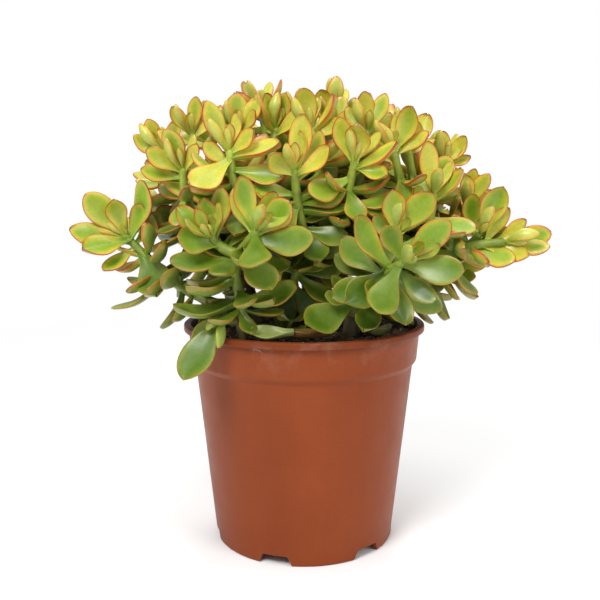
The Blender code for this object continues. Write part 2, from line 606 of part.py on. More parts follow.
def leaf_mesh(base, along, face, length, width, thickness):
    """Thick obovate leaf: base point, unit vector to the tip, unit normal of the upper face."""
    side = along.cross(face)
    base = base + along * LEAF_ROOT * MM

    def at(share, across, lift):
        bow = -LEAF_BOW * 4 * share * (1 - share)
        return base + along * length * share + side * across * width + face * (bow * length + lift)

    verts = [at(share, -half, 0) for share, half in LEAF_STATIONS]
    verts += [at(share, half, 0) for share, half in reversed(LEAF_STATIONS)]
    rim = len(verts)
    verts += [at(LEAF_CROWN, 0, thickness / 2), at(LEAF_CROWN, 0, -thickness / 2)]
    faces = [(rim, i, (i + 1) % rim) for i in range(rim)]
    faces += [(rim + 1, (i + 1) % rim, i) for i in range(rim)]
    return verts, faces


def square_to(vector, along):
    return (vector - vector.dot(along) * along).normalized()


def leaf_face(axis, along, show):
    """Unit normal of the upper face: on the side of the stem's tip, or turned to the front."""
    return square_to(square_to(axis, along).lerp(square_to(FRONT, along), show), along)


def leaf_thickness(length):
    return min(LEAF_THICKNESS * MM, LEAF_THICKNESS_SHARE * length)


def place_leaf(owner, base, along, face, length, width_share):
    """The first free place for a leaf, or None."""
    side = along.cross(face)
    for scale in LEAF_SCALES:
        for lift in LEAF_LIFTS:
            for turn in LEAF_TURNS:
                rotation = (Matrix.Rotation(math.radians(turn), 3, face)
                            @ Matrix.Rotation(math.radians(lift), 3, side))
                way = (rotation @ along).normalized()
                normal = (rotation @ face).normalized()
                size = length * scale
                leaf = (base, way, normal, size, size * width_share, leaf_thickness(size))
                grown = leaf_mesh(base, way, normal, size + CLEARANCE * MM,
                                  size * width_share + 2 * CLEARANCE * MM,
                                  leaf_thickness(size) + 2 * CLEARANCE * MM)
                if not blocked(*grown, {owner}):
                    return leaf
    return None


# ---------------------------------------------------------------- shoots


def stem_path(parent, share, via, tip, heading, lean):
    """Centre line from the parent's surface to the tip."""
    tip = Vector(tip) * MM
    axis = direction(heading, lean)
    if parent == "soil":
        points = [Vector(p) * MM for p in via]
        points[0].z += GAP
        return curve_through(points + [tip], SOIL_STEM_RINGS)
    point = along_stem(parent, share)[0]
    first = Vector(via[0]) * MM if via else tip - axis * (tip - point).length * TIP_REACH
    start, out = leave_parent(parent, share, first)
    points = [start + out * LEAD * MM] + [Vector(p) * MM for p in via]
    if not via:
        points.append(tip - axis * (tip - start).length * TIP_REACH)
    return [start] + curve_through(points + [tip], STEM_RINGS - 1 + len(via))


def leave_parent(parent, share, towards):
    """Where a shoot starts on its parent's surface, and its first direction."""
    point, tangent = along_stem(parent, share)
    if share > TOP_SHARE:
        return point + tangent * GAP, tangent
    out = square_to(towards - point, tangent)
    return point + out * (radius_along(parent, share) + GAP), out


def grow_stem(name, line, on_soil=False):
    foot = SHOOT_FOOT_RADIUS * THIN_STEMS.get(name, 1) * MM
    tip = SHOOT_TIP_RADIUS * THIN_STEMS.get(name, 1) * MM
    verts, faces = tube(line, foot, tip, SHOOT_SIDES)
    if on_soil:
        verts = flat_foot(verts, SHOOT_SIDES, line[0].z)
    stems[name] = (line, foot, tip)
    return verts, faces


def stem_length(name):
    line = stems[name][0]
    return sum((b - a).length for a, b in zip(line, line[1:]))


def below_tip(name, drop):
    """Point and tangent of a stem at a distance below its tip, in mm."""
    share = 1 - max(drop, LEAST_DROP) * MM / stem_length(name)
    return along_stem(name, max(0.0, share))


def hand_leaves(name, leaves, axis):
    grown = []
    for drop, heading, lean, length, width_share, show in leaves:
        if length < LEAST_LEAF and name not in THIN_STEMS:
            continue
        point, tangent = below_tip(name, drop)
        along = direction(heading, lean)
        face = leaf_face(axis if drop < TIP_ZONE else tangent, along, show)
        leaf = place_leaf(name, point, along, face, length * MM, width_share)
        if leaf:
            keep_clear_of(name, *leaf_mesh(*leaf))
            grown.append(leaf)
    return grown


def leaf_pairs(name, pairs, phase):
    """Opposite leaves, each pair a quarter turn on from the last."""
    grown = []
    for i, (drop, tilt, length) in enumerate(pairs):
        if length < LEAST_LEAF:
            continue
        point, axis = below_tip(name, drop)
        across = square_to(UP_LEFT, axis)
        for half in (0, 180):
            out = Matrix.Rotation(math.radians(phase + 90 * i + half), 3, axis) @ across
            along = math.cos(math.radians(tilt)) * axis + math.sin(math.radians(tilt)) * out
            face = square_to(axis, along)
            leaf = place_leaf(name, point, along, face, length * MM, LEAF_WIDTH_SHARE)
            if leaf:
                keep_clear_of(name, *leaf_mesh(*leaf))
                grown.append(leaf)
    return grown


def old_pairs(name, leaves):
    room = stem_length(name) / MM - OLD_PAIR_SPACE
    taken = [leaf[0] for leaf in leaves]
    return [pair for pair in OLD_PAIRS if pair[0] < room
            and all(abs(pair[0] - drop) > OLD_PAIR_SPACE for drop in taken)]


def ring_shoots():
    """Name, tip and direction of each shoot in the rings, in mm."""
    found = []
    for ring, (height, radius, first, last, count, tilt) in enumerate(RINGS):
        for i in range(count):
            azimuth = math.radians(first + (last - first) * i / (count - 1))
            out = Vector((math.cos(azimuth), math.sin(azimuth) * RING_DEPTH_SHARE, 0))
            axis = (math.cos(math.radians(tilt)) * Vector((0, 0, 1))
                    + math.sin(math.radians(tilt)) * out).normalized()
            tip = out * radius + Vector((0, 0, height + RING_STAGGER * (-1) ** (i + ring)))
            found.append((f"shoot_back_{ring + 1}_{i + 1}", tip, axis))
    return found


def ring_stem(name, tip, axis):
    """The centre line of the shortest free way from one of the parents to the tip, or None."""
    tip = tip * MM
    ways = []
    for parent in RING_PARENTS:
        for share in RING_PARENT_SHARES:
            reach = (tip - along_stem(parent, share)[0]).length
            ways.append((reach + LOW_START_COST * MM * (1 - share), parent, share))
    for reach, parent, share in sorted(ways):
        near = tip - axis * reach * RING_TIP_REACH
        start, out = leave_parent(parent, share, near)
        line = [start] + curve_through([start + out * LEAD * MM, near, tip], STEM_RINGS - 1)
        if blocked(*tube(line, SHOOT_FOOT_RADIUS * MM, SHOOT_TIP_RADIUS * MM, SHOOT_SIDES), {name}):
            continue
        grown = tube(line, (SHOOT_FOOT_RADIUS + CLEARANCE) * MM,
                     (SHOOT_TIP_RADIUS + CLEARANCE) * MM, SHOOT_SIDES)
        if not blocked(*grown, {name, parent}):
            return line
    return None


def shoot_colour(height):
    mix = min(1.0, max(0.0, (height / MM - LOW_COLOUR_HEIGHT) / COLOUR_RISE))
    return tuple(a + (b - a) * mix for a, b in zip(LOW_LEAF_COLOUR, TOP_LEAF_COLOUR))


def finish_shoot(name, stem, leaves):
    """The stem, with its leaves joined to it."""
    shoot = add_object(name, *stem, smooth_angle=40)
    paint(shoot, shoot_colour(stems[name][0][-1].z), LEAF_ROUGHNESS)
    verts = []
    faces = []
    for leaf in leaves:
        more, more_faces = leaf_mesh(*leaf)
        faces += [tuple(i + len(verts) for i in f) for f in more_faces]
        verts += more
    blades = add_object(name + "_blades", verts, faces)
    blades.hide_render = True
    blades.display_type = "WIRE"
    join = shoot.modifiers.new("leaves", "BOOLEAN")
    join.operation = "UNION"
    join.object = blades
    join.use_self = True


def make_shoots():
    grown = {}
    for name, (parent, share, via, tip, (heading, lean), leaves) in SHOOTS.items():
        line = stem_path(parent, share, via, tip, heading, lean)
        stem = grow_stem(name, line, parent == "soil")
        keep_clear_of(name, *stem)
        grown[name] = stem
    rings = []
    for name, tip, axis in ring_shoots():
        line = ring_stem(name, tip, axis)
        if line is None:
            continue
        stem = grow_stem(name, line)
        keep_clear_of(name, *stem)
        grown[name] = stem
        rings.append(name)
    blades = {}
    for name, (parent, share, via, tip, (heading, lean), leaves) in SHOOTS.items():
        blades[name] = hand_leaves(name, leaves, direction(heading, lean))
    for i, name in enumerate(rings):
        blades[name] = leaf_pairs(name, RING_PAIRS, PAIR_PHASE * i)
    for i, (name, shoot) in enumerate(SHOOTS.items()):
        if name not in THIN_STEMS:
            blades[name] += leaf_pairs(name, old_pairs(name, shoot[-1]), PAIR_PHASE * i)
    for name, stem in grown.items():
        finish_shoot(name, stem, blades[name])


def make_fallen_leaves():
    for name, (base, tip, face, width_share) in FALLEN_LEAVES.items():
        base = Vector(base) * MM
        reach = Vector(tip) * MM - base
        along = reach.normalized()
        length = reach.length
        leaf = leaf_mesh(base, along, square_to(Vector(face), along), length,
                         length * width_share, leaf_thickness(length))
        keep_clear_of(name, *leaf)
        obj = add_object(name, *leaf, smooth_angle=60)
        paint(obj, OLD_LEAF_COLOUR, OLD_LEAF_ROUGHNESS)


def main():
    clear_scene()
    keep_clear_of("pot", *make_pot())
    keep_clear_of("soil", *make_soil())
    make_trunks()
    make_fallen_leaves()
    make_shoots()


main()
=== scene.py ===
"""Looks of the potted jade plant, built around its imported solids.

The growth section repeats the rules that place the solids' stems and leaves, so every shoot
here stands exactly where its solid does. Each one is then drawn with full, thick, cupped
leaves and jointed stems, and gets the young tip leaves and the older inner pairs that are
too fine for the solids. Metres, +Z up, the front is -Y.
"""

import math
import random

import bmesh
import bpy
import numpy as np
from mathutils import Matrix, Vector, noise
from mathutils.bvhtree import BVHTree


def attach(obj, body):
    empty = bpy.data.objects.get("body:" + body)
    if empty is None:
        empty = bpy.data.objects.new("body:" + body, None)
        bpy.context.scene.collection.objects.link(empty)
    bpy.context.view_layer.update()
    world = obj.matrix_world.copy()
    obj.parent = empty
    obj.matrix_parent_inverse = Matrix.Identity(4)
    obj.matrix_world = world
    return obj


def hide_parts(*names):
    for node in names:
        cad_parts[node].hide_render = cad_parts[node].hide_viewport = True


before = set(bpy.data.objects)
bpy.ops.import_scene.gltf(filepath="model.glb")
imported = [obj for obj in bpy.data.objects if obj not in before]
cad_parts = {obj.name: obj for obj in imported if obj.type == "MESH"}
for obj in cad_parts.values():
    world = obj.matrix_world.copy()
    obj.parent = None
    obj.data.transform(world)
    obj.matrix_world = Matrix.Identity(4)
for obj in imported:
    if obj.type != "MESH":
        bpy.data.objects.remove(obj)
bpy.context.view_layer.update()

MM = 0.001
GAP = 0.3 * MM  # between pieces that touch
FRONT = Vector((0.0, -0.97, 0.24))  # leaves that are twisted to be shown face this way
UP_LEFT = Vector((-0.7, 0.1, 0.7))  # the way that a pair with no turn opens

# Pot, mm
POT_HEIGHT = 155.0
RIM_RADIUS = 85.0
RIM_DEPTH = 4.5
RIM_INNER_RADIUS = 80.2
BAND_TOP_RADIUS = 81.7
BAND_FOOT_RADIUS = 79.9
STEP_TOP = 130.0
STEP_FOOT = 126.5
WALL_TOP_RADIUS = 77.2
WALL_FOOT_RADIUS = 64.4
FOOT_RADIUS = 63.2
FOOT_ROUND = 1.6  # height of the sloped edge under the wall
FOOT_FLARE = 0.9
POT_WALL = 1.6
SKIRT_WALL = 2.4
FLOOR_UNDERSIDE = 7.6
POT_SIDES = 60

# Feet: what is left of the skirt between the notches
NOTCH_COUNT = 6
NOTCH_AZIMUTH = -18.0  # first notch, degrees from the front towards +X
NOTCH_FOOT_ANGLE = 22.0
NOTCH_TOP_ANGLE = 15.0
NOTCH_HEIGHT = 7.0
NOTCH_CORNER = ((0.9, 1.4), (0.35, 0.4), (-0.4, 0.0))  # degrees outside and mm under a top corner
NOTCH_CUT = (FOOT_RADIUS - 2.2 * SKIRT_WALL, FOOT_RADIUS + 3 * SKIRT_WALL)  # radii of a cutter
DRAIN_RADIUS = 5.0
DRAIN_CIRCLE = 50.0
DRAIN_SIDES = 24

# Soil, mm
SOIL_TOP = 152.0
SOIL_EDGE_TOP = 149.8
SOIL_FLAT_RADIUS = 68.0
SOIL_EDGE_FLARE = 0.8
SOIL_SIDES = 48
SOIL_FENCE_OVERLAP = 0.5  # the surface that the growth keeps clear of runs into the wall
SOIL_FENCE_MIDDLE = 0.01

# Stems and leaves, mm
TRUNK_SIDES = 8
SHOOT_SIDES = 5
SHOOT_FOOT_RADIUS = 3.7
SHOOT_TIP_RADIUS = 2.6
THIN_STEMS = {"seedling": 0.4}  # share of the usual radius
LEAD = 4.2  # a side shoot leaves its parent squarely for this far
STEM_RINGS = 5
LEAST_SIDE = 0.1  # a line that starts more nearly along Y than this takes its first side from X
SOIL_STEM_RINGS = 8
TIP_REACH = 0.4  # share of a shoot's reach over which it follows its tip's direction
RING_TIP_REACH = 0.45
TOP_SHARE = 0.999  # from here on a shoot continues its parent instead of leaving its side
CURVE_STEPS = 8  # fine steps between two points that a curve passes through
LEAF_WIDTH_SHARE = 0.52
LEAST_LEAF = 17  # the young leaves at a tip, shorter than this, stay out of the solids
LEAF_THICKNESS = 4.4
LEAF_THICKNESS_SHARE = 0.135  # of the length, on leaves too short for the full thickness
LEAF_BOW = 0.07
LEAF_ROOT = 0.6  # a leaf starts this far from the middle of its stem
LEAST_DROP = 1.6
TIP_ZONE = 12  # leaves nearer to the tip than this open about its direction
CLEARANCE = 0.45

# Stations along a leaf, share of its length, with the half width as a share of its width
LEAF_STATIONS = ((0.0, 0.12), (0.35, 0.32), (0.7, 0.5), (0.96, 0.25))
LEAF_CROWN = 0.6

# A leaf's other places, tried in this order: share of its length, lift, turn
LEAF_SCALES = (1.0, 0.88, 0.74)
LEAF_LIFTS = (0, 10, -10, 20, -20)
LEAF_TURNS = (0, 12, -12, 24, -24)

# Trunks: foot x, y; top x, y, z; foot radius, top radius, mm
TRUNKS = {
    "trunk_centre": ((8, -22), (20, -26, 212), 5.6, 4.6),
    "trunk_centre_left": ((-8, -6), (-14, -20, 214), 5.2, 4.2),
    "trunk_left": ((-34, -14), (-58, -20, 196), 5.4, 4.4),
    "trunk_right": ((30, -42), (43, -60, 188), 5.2, 4.2),
    "trunk_right_back": ((42, 4), (76, -2, 200), 5.4, 4.4),
    "trunk_back": ((4, 36), (8, 44, 222), 5.4, 4.4),
    "trunk_back_left": ((-36, 34), (-62, 52, 204), 5.2, 4.2),
    "trunk_back_right": ((40, 46), (60, 66, 204), 5.2, 4.2),
}
TRUNK_BEND = 5.0
TRUNK_BEND_SHARE = 0.45  # how far up a trunk its bend is

# Shoots given one by one. Each has its parent, how far up the parent it leaves, points on its
# way, its tip, the way the tip points (heading, lean) and its leaves. A heading is measured
# in the XZ plane from +X towards +Z, a lean from that plane towards the front. A leaf is
# (distance below the tip, heading, lean, length, width share, show): show 0 leaves its upper
# face square to the stem, as it grew, and show 1 has it twisted to face the front. Where the
# last one or two are left out they are USUAL_LEAF's.
USUAL_LEAF = (0.5, 0.8)
SHOOTS = {
    "shoot_front_left": (
        "soil", 0, ((-40, -60, 152), (-40, -62, 176), (-43, -65, 203)), (-28, -80, 224), (85, 45),
        ((0, 85, 40, 13, 0.4), (3, 106, 12, 35, 0.48, 0.15), (6, 64, -10, 29, 0.48, 0.15),
         (6, 114, -12, 31, 0.48, 0.15), (8, 41, 15, 33, 0.6), (10, 358, 22, 41, 0.48),
         (4, 272, 58, 34, 0.6), (16, 304, 35, 36, 0.58, 0.55), (28, 180, 12, 41, 0.48, 0.15),
         (28, 350, -20, 34, 0.5, 0.55), (56, 186, 18, 42, 0.48, 0.15), (57, 18, 8, 37, 0.5, 0.55),
         (60, 296, 42, 22, 0.5, 0.55)),
    ),
    "shoot_over_rim": (
        "shoot_front_left", 0.16, (), (-53, -63, 168), (220, 30),
        ((2, 236, 31, 50, 0.46),),
    ),
    "shoot_left_of_front": (
        "shoot_front_left", 0.7, (), (-57, -70, 220), (110, 35),
        ((0, 118, 30, 22, 0.4), (1, 80, 20, 16, 0.4), (4, 138, 12, 30), (5, 82, 0, 33, 0.48, 0.15),
         (6, 100, 8, 28, 0.52), (9, 166, 36, 29, 0.64), (13, 130, -22, 32),
         (14, 50, -20, 28, 0.5, 0.55)),
    ),
    "shoot_front_right": (
        "trunk_right", 1.0, ((47, -74, 195),), (59, -90, 206), (80, 60),
        ((0, 48, 38, 21, 0.34), (0, 75, 60, 11), (2, 115, 25, 27, 0.56), (3, 46, 15, 38, 0.46),
         (4, 356, 24, 38), (4, 242, 45, 43, 0.48), (8, 320, 18, 31, 0.46), (13, 284, 18, 34),
         (13, 127, 8, 39, 0.48, 0.15), (15, 213, 28, 34, 0.6, 0.55), (18, 331, -4, 42, 0.46, 0.55),
         (20, 142, -16, 34, 0.5, 0.55), (26, 303, -6, 32, 0.36, 0.15)),
    ),
    "shoot_right_of_front": (
        "trunk_right", 0.8, ((54, -66, 196),), (58, -60, 222), (75, 25),
        ((0, 58, 38, 16, 0.4), (4, 57, 10, 35, 0.56), (4, 96, 12, 31, 0.55), (8, 128, 4, 23),
         (9, 10, 0, 30), (16, 176, 0, 30, 0.5, 0.55), (16, 350, 14, 30, 0.5, 0.55)),
    ),
    "shoot_left_outer": (
        "trunk_left", 0.38, ((-66, -29, 174), (-89, -23, 186)), (-123, -16, 217), (102, 35),
        ((0, 90, 40, 11, 0.4), (2, 104, 24, 29, 0.58), (3, 130, 14, 40, 0.58),
         (3, 68, 15, 27, 0.52), (5, 70, 12, 43, 0.48, 0.15), (4, 167, 12, 39), (8, 154, -18, 34),
         (9, 50, -22, 28), (15, 300, 40, 40, 0.62), (16, 74, -12, 27, 0.46, 0.55),
         (20, 160, -6, 24, 0.48, 0.15), (36, 214, 10, 43, 0.44, 0.15),
         (34, 192, -20, 30, 0.48, 0.15), (44, 82, -8, 36, 0.48, 0.15)),
    ),
    "shoot_upper_left_front": (
        "trunk_centre_left", 0.93, ((-42, -50, 244),), (-47, -55, 273), (90, 35),
        ((1, 88, 26, 18, 0.46), (3, 42, 24, 23, 0.58), (4, 114, 12, 36, 0.45),
         (6, 18, 20, 35, 0.48, 0.15), (6, 233, 40, 35, 0.62), (10, 140, 10, 23, 0.56),
         (12, 354, 10, 33), (14, 152, 0, 29, 0.48, 0.15), (26, 190, 20, 30, 0.5, 0.55),
         (28, 0, -10, 32, 0.5, 0.55)),
    ),
    "shoot_upper_left": (
        "trunk_left", 0.9, ((-76, -26, 236),), (-80, -30, 262), (125, 15),
        ((0, 120, 20, 14), (3, 147, 20, 28, 0.58), (3, 106, 15, 30, 0.56), (4, 66, 10, 22),
         (6, 166, 8, 28), (9, 158, -12, 28, 0.44), (20, 132, -4, 26, 0.5, 0.55),
         (22, 340, 20, 28, 0.5, 0.55)),
    ),
    "shoot_left_top": (
        "trunk_left", 1.0, ((-84, -10, 242),), (-97, 0, 276), (112, 8),
        ((0, 100, 16, 14), (3, 116, 10, 25, 0.55), (3, 70, 0, 24, 0.52), (5, 150, -10, 27),
         (6, 60, -30, 26), (18, 178, -8, 28, 0.5, 0.55), (20, 190, 20, 26, 0.5, 0.55)),
    ),
    "shoot_top_left": (
        "shoot_upper_left", 0.55, (), (-76, -12, 286), (92, 8),
        ((0, 95, 15, 15), (3, 84, 10, 27), (3, 120, 14, 24), (4, 50, 4, 24), (6, 140, -24, 26)),
    ),
    "shoot_top_left_inner": (
        "shoot_upper_left_front", 0.5, (), (-43, -20, 287), (90, 8),
        ((0, 100, 22, 16), (3, 96, 4, 27, 0.7), (3, 58, 6, 26, 0.6), (3, 50, 26, 21),
         (6, 132, -10, 26)),
    ),
    "shoot_top_centre_left": (
        "trunk_centre_left", 1.0, ((-24, -16, 250),), (-19, -5, 290), (92, 5),
        ((0, 80, 18, 14), (3, 104, 4, 26), (3, 76, 4, 26, 0.55), (4, 114, 26, 31, 0.48, 0.15),
         (6, 40, 20, 26), (24, 170, 12, 28, 0.5, 0.55), (26, 10, 8, 28, 0.5, 0.55)),
    ),
    "shoot_centre_front": (
        "trunk_centre", 0.72, ((-2, -48, 226),), (-7, -60, 261), (88, 25),
        ((0, 88, 24, 18, 0.44), (4, 118, 30, 24, 0.64), (5, 84, 0, 38, 0.48, 0.15),
         (5, 36, 20, 30, 0.46), (8, 60, -12, 36, 0.48, 0.15), (16, 168, 6, 30, 0.5, 0.55),
         (20, 14, -10, 31, 0.5, 0.55), (34, 196, 20, 32, 0.5, 0.55), (36, 350, 24, 32, 0.5, 0.55)),
    ),
    "shoot_top_centre": (
        "trunk_centre", 1.0, ((12, -24, 250),), (4, -25, 288), (90, 8),
        ((0, 95, 20, 14), (3, 100, 10, 29, 0.66), (4, 106, -10, 31, 0.48),
         (4, 56, 4, 29, 0.48, 0.15), (6, 30, 20, 24)),
    ),
    "shoot_top_peak": (
        "shoot_top_centre", 0.45, (), (18, -2, 291), (86, 4),
        ((0, 80, 15, 15), (3, 106, 6, 28, 0.66), (4, 74, -12, 27, 0.6), (5, 50, 20, 22),
         (6, 140, -20, 24)),
    ),
    "shoot_centre_right": (
        "trunk_centre", 0.9, ((25, -38, 228), (28, -45, 246)), (32, -50, 267), (82, 35),
        ((2, 82, 32, 27, 0.72), (4, 112, 4, 31), (5, 345, 32, 25, 0.52),
         (7, 32, 16, 33, 0.48, 0.15), (11, 190, 26, 33, 0.6), (27, 8, 12, 33, 0.48, 0.15),
         (31, 200, 10, 33, 0.58, 0.55), (33, 20, -30, 30, 0.5, 0.55)),
    ),
    "shoot_top_right_inner": (
        "shoot_centre_right", 0.5, (), (41, -24, 287), (86, 8),
        ((0, 78, 30, 16, 0.44), (3, 94, 14, 28, 0.6), (3, 66, 0, 29), (5, 128, 4, 24),
         (5, 40, -20, 26)),
    ),
    "shoot_top_right": (
        "trunk_right_back", 0.85, ((64, -30, 244),), (57, -36, 275), (80, 12),
        ((0, 90, 30, 14), (3, 68, 15, 31, 0.6), (5, 38, 15, 26, 0.44), (4, 120, 10, 22),
         (24, 0, 20, 30, 0.5, 0.55), (26, 190, 10, 28, 0.5, 0.55)),
    ),
    "shoot_top_right_outer": (
        "trunk_right_back", 1.0, ((76, -10, 240),), (70, -14, 275), (80, 6),
        ((0, 80, 26, 13), (3, 78, 15, 23, 0.66), (4, 68, -10, 30, 0.62), (4, 36, 10, 20, 0.4),
         (5, 128, 0, 24), (26, 178, 0, 28, 0.5, 0.55), (28, 4, 0, 28, 0.5, 0.55)),
    ),
    "shoot_right_crown": (
        "trunk_right_back", 0.95, ((92, 2, 238),), (97, 1, 268), (76, 4),
        ((0, 80, 22, 13), (3, 92, 10, 23), (3, 48, 10, 24, 0.56), (4, 18, 0, 20, 0.44),
         (5, 130, -10, 24)),
    ),
    "shoot_right_front": (
        "trunk_right_back", 0.62, ((78, -36, 214),), (83, -45, 246), (82, 25),
        ((1, 85, 28, 18, 0.46), (4, 97, 10, 37, 0.44), (4, 70, -12, 30, 0.66),
         (6, 50, 12, 28, 0.48, 0.15), (8, 140, 26, 20, 0.58), (15, 188, 4, 29, 0.5, 0.55),
         (15, 346, 6, 30, 0.5, 0.55), (32, 190, 0, 30, 0.5, 0.55)),
    ),
    "shoot_right_top": (
        "shoot_right_crown", 0.4, (), (112, -6, 237), (78, 12),
        ((0, 90, 20, 14), (3, 104, 14, 24, 0.56), (4, 80, -8, 30, 0.48, 0.15),
         (4, 64, 10, 30, 0.44), (6, 128, -16, 24), (8, 44, -6, 27, 0.44)),
    ),
    "shoot_right_outer": (
        "trunk_right_back", 0.56, ((99, -24, 199),), (117, -34, 220), (55, 15),
        ((0, 60, 25, 14), (4, 67, 15, 37, 0.54), (5, 98, 0, 29, 0.56), (6, 44, -10, 28, 0.48),
         (8, 20, 10, 28, 0.44), (10, 124, 12, 24), (11, 348, 26, 34, 0.58),
         (22, 200, 10, 30, 0.5, 0.55)),
    ),
    "shoot_far_right": (
        "shoot_right_outer", 0.45, (), (132, -42, 214), (10, 15),
        ((1, 22, 30, 18, 0.38), (3, 14, 6, 31, 0.58), (3, 354, 20, 30, 0.46),
         (6, 40, 14, 24, 0.44), (12, 60, 0, 28), (14, 340, 6, 32), (22, 352, 34, 34, 0.56),
         (24, 78, 8, 26, 0.5, 0.55)),
    ),
    "shoot_right_low": (
        "trunk_right_back", 0.3, ((76, 4, 180),), (96, 2, 197), (20, 15),
        ((1, 20, 20, 18), (3, 6, 8, 38), (5, 14, -16, 37, 0.46), (6, 46, -6, 31),
         (7, 350, 24, 32, 0.46), (12, 90, 10, 26)),
    ),
    "shoot_centre_low": (
        "trunk_right", 0.5, (), (32, -64, 180), (120, 55),
        ((2, 205, 25, 39, 0.58), (3, 28, 8, 26, 0.48, 0.15), (4, 140, 0, 22, 0.4)),
    ),
    "seedling": (
        "soil", 0, ((-10, -48, 152), (-10, -49, 158)), (-8, -51, 164), (70, 30),
        ((2, 30, 20, 12, 0.5, 0.3), (2, 150, 10, 12, 0.5, 0.3), (7, 10, 30, 13, 0.5, 0.3),
         (7, 200, 30, 13, 0.5, 0.3)),
    ),
    "shoot_centre_dark": (
        "trunk_centre_left", 0.55, (), (-4, -44, 196), (70, 40),
        ((2, 10, 10, 34, 0.46), (3, 150, 20, 32), (5, 325, 24, 33, 0.48, 0.15), (7, 215, 10, 30)),
    ),
}

# Older pairs, lower on a shoot's stem: distance below the tip, tilt from the stem, length.
# A pair is left out where the shoot already has a leaf at that height.
OLD_PAIRS = ((21, 92, 33),)
OLD_PAIR_SPACE = 6

# Leaves that have dropped: base, tip, way that the upper face looks, width share, colour
FALLEN_LEAVES = {
    "fallen_leaf_pale": ((-6, -71, 158.2), (-33, -70, 158.2), (0.0, -0.5, 0.86), 0.46,
                         (0.36, 0.42, 0.13)),
    "fallen_leaf_red": ((18, -60, 156.0), (-9, -66, 156.0), (0.0, -0.1, 0.99), 0.4,
                        (0.20, 0.09, 0.03)),
    "fallen_leaf_olive": ((58, -36, 155.4), (44, -54, 155.4), (0.0, -0.05, 0.99), 0.5,
                          (0.09, 0.085, 0.03)),
}

# The far side and the flanks: rings of shoots, each (height, ring radius, first azimuth,
# last azimuth, count, tilt of the tip from upright). Azimuths run from +X through +Y. Each
# shoot leaves whichever of the parents gives it the shortest way that is free.
RINGS = (
    (300, 34, 50, 150, 3, 8),
    (288, 71, 24, 166, 5, 20),
    (262, 94, 14, 166, 6, 36),
    (225, 120, 22, 156, 6, 54),
)
RING_DEPTH_SHARE = 0.79  # the crown is less deep than it is wide
RING_STAGGER = 4  # neighbours on a ring stand this much above and below its height
RING_PARENTS = ("trunk_back", "trunk_back_left", "trunk_back_right", "trunk_left",
                "trunk_right_back", "trunk_centre_left")
RING_PARENT_SHARES = (1.0, 0.93, 0.86, 0.79, 0.72, 0.65, 0.58, 0.5, 0.42)
PAIR_PHASE = 40.0  # turn of the first pair from one shoot to the next
LOW_START_COST = 20  # mm: how much longer than one from a trunk's foot a way from its top may be

# Leaf pairs of a ring shoot: distance below the tip, tilt from the stem, length
RING_PAIRS = ((0, 18, 15), (3, 34, 27), (7, 56, 33), (12, 78, 35), (26, 92, 33))


# ---------------------------------------------------------------- sizes of the drawn detail, mm

BUD_DROP = 1.2
BUD_WIDTH_SHARE = 0.42
BUD_LEAVES = ((6, 10.0, 20), (18, 15.0, 110), (30, 24.0, 62))  # tilt from the stem, length, turn
FILLER_PAIRS = ((31, 84, 30), (19, 70, 28), (42, 92, 33), (54, 95, 30), (25, 96, 31), (36, 100, 32),
                (48, 98, 31), (61, 96, 28))
FILLER_PHASE = 55
OWN_LEAF_SPACE = 7.5
BROAD_SHARE = 0.7  # where along a leaf it is broadest
# Leaves that hang in front of a bare stem: shoot, then as in SHOOTS
HANGING_LEAVES = (
    ("shoot_centre_front", (21, 236, 40, 30, 0.56)),
    ("shoot_centre_front", (36, 300, 44, 31, 0.56)),
    ("shoot_upper_left", (15, 262, 44, 28, 0.56)),
    ("shoot_upper_left_front", (30, 292, 40, 30, 0.56)),
    ("shoot_centre_right", (19, 290, 42, 28, 0.56)),
    ("shoot_centre_right", (40, 240, 42, 30, 0.56)),
    ("shoot_top_right", (16, 250, 42, 27, 0.56)),
    ("shoot_top_right_outer", (15, 285, 42, 27, 0.56)),
    ("shoot_top_centre_left", (16, 262, 42, 26, 0.56)),
    ("shoot_left_outer", (5, 194, 38, 34, 0.6)),
    ("shoot_left_outer", (10, 222, 30, 28)),
    ("shoot_right_top", (14, 350, 30, 28)),
)
SUN_NARROWS = 0.12  # leaves in full sun are this much narrower
SUN_POINT = 0.75  # how far along a leaf its sunlight is judged

# A leaf's own differences: shares of its length, with its cup as a share of its width
BOW_RANGE = (0.4, 1.9)  # as a share of LEAF_BOW
LEAF_SWAY = 0.07
CURL_RANGE = (-0.04, 0.09)
CURL_SPAN = (0.55, 1.0)  # the stretch of a leaf that curls
LEAF_TWIST = 26  # degrees
STRAIGHT_SHARE = 0.3  # the twist has no effect here
CUP_RANGE = (-0.02, 0.24)
LEAF_LOP = 0.035
RIM_WOBBLE = 0.025
RIM_WAVES = (9, 40, 3)  # for each length, for each unit of the lop, at the start
TIP_SHARE = 0.6  # from here on the rim also counts round the tip
WILT_BOW = 0.08
WILT_CUP = 0.12
DRY_TINT = 0.8  # how far a dropped leaf has turned to its own colour

# Stems, mm
STEM_STEP = 2.2
LEAST_STEM_STEPS = 8
JOINT_STEP = (9.5, 12.5)  # between joints, chosen for each stem
JOINT_SWELL = 0.12
SWELL_SPAN = (0.45, 1.0)  # share of the way from between two joints to a joint
SCAR_SPAN = (0.86, 1.0)
SCAR_DEPTH = 0.12
SCAR_NECK = (0.9, 1.0)
STEM_ROUGHNESS = 0.015
WOOD_ROUGHNESS = 0.10
ROUGH_PITCH = 160  # lumps of a stem for each metre of its height
TIP_TAPER = 0.55
BARK_HEIGHTS = (188, 160)  # mm: green over the first, bark under the second
MOST_BARK = 0.85
BARK_THINS = 0.6  # share of the bark's colour that is lost by the tip
LIME_HEIGHTS = (205, 275)
STEM_SIDES_DRAWN = 12
TRUNK_SIDES_DRAWN = 20

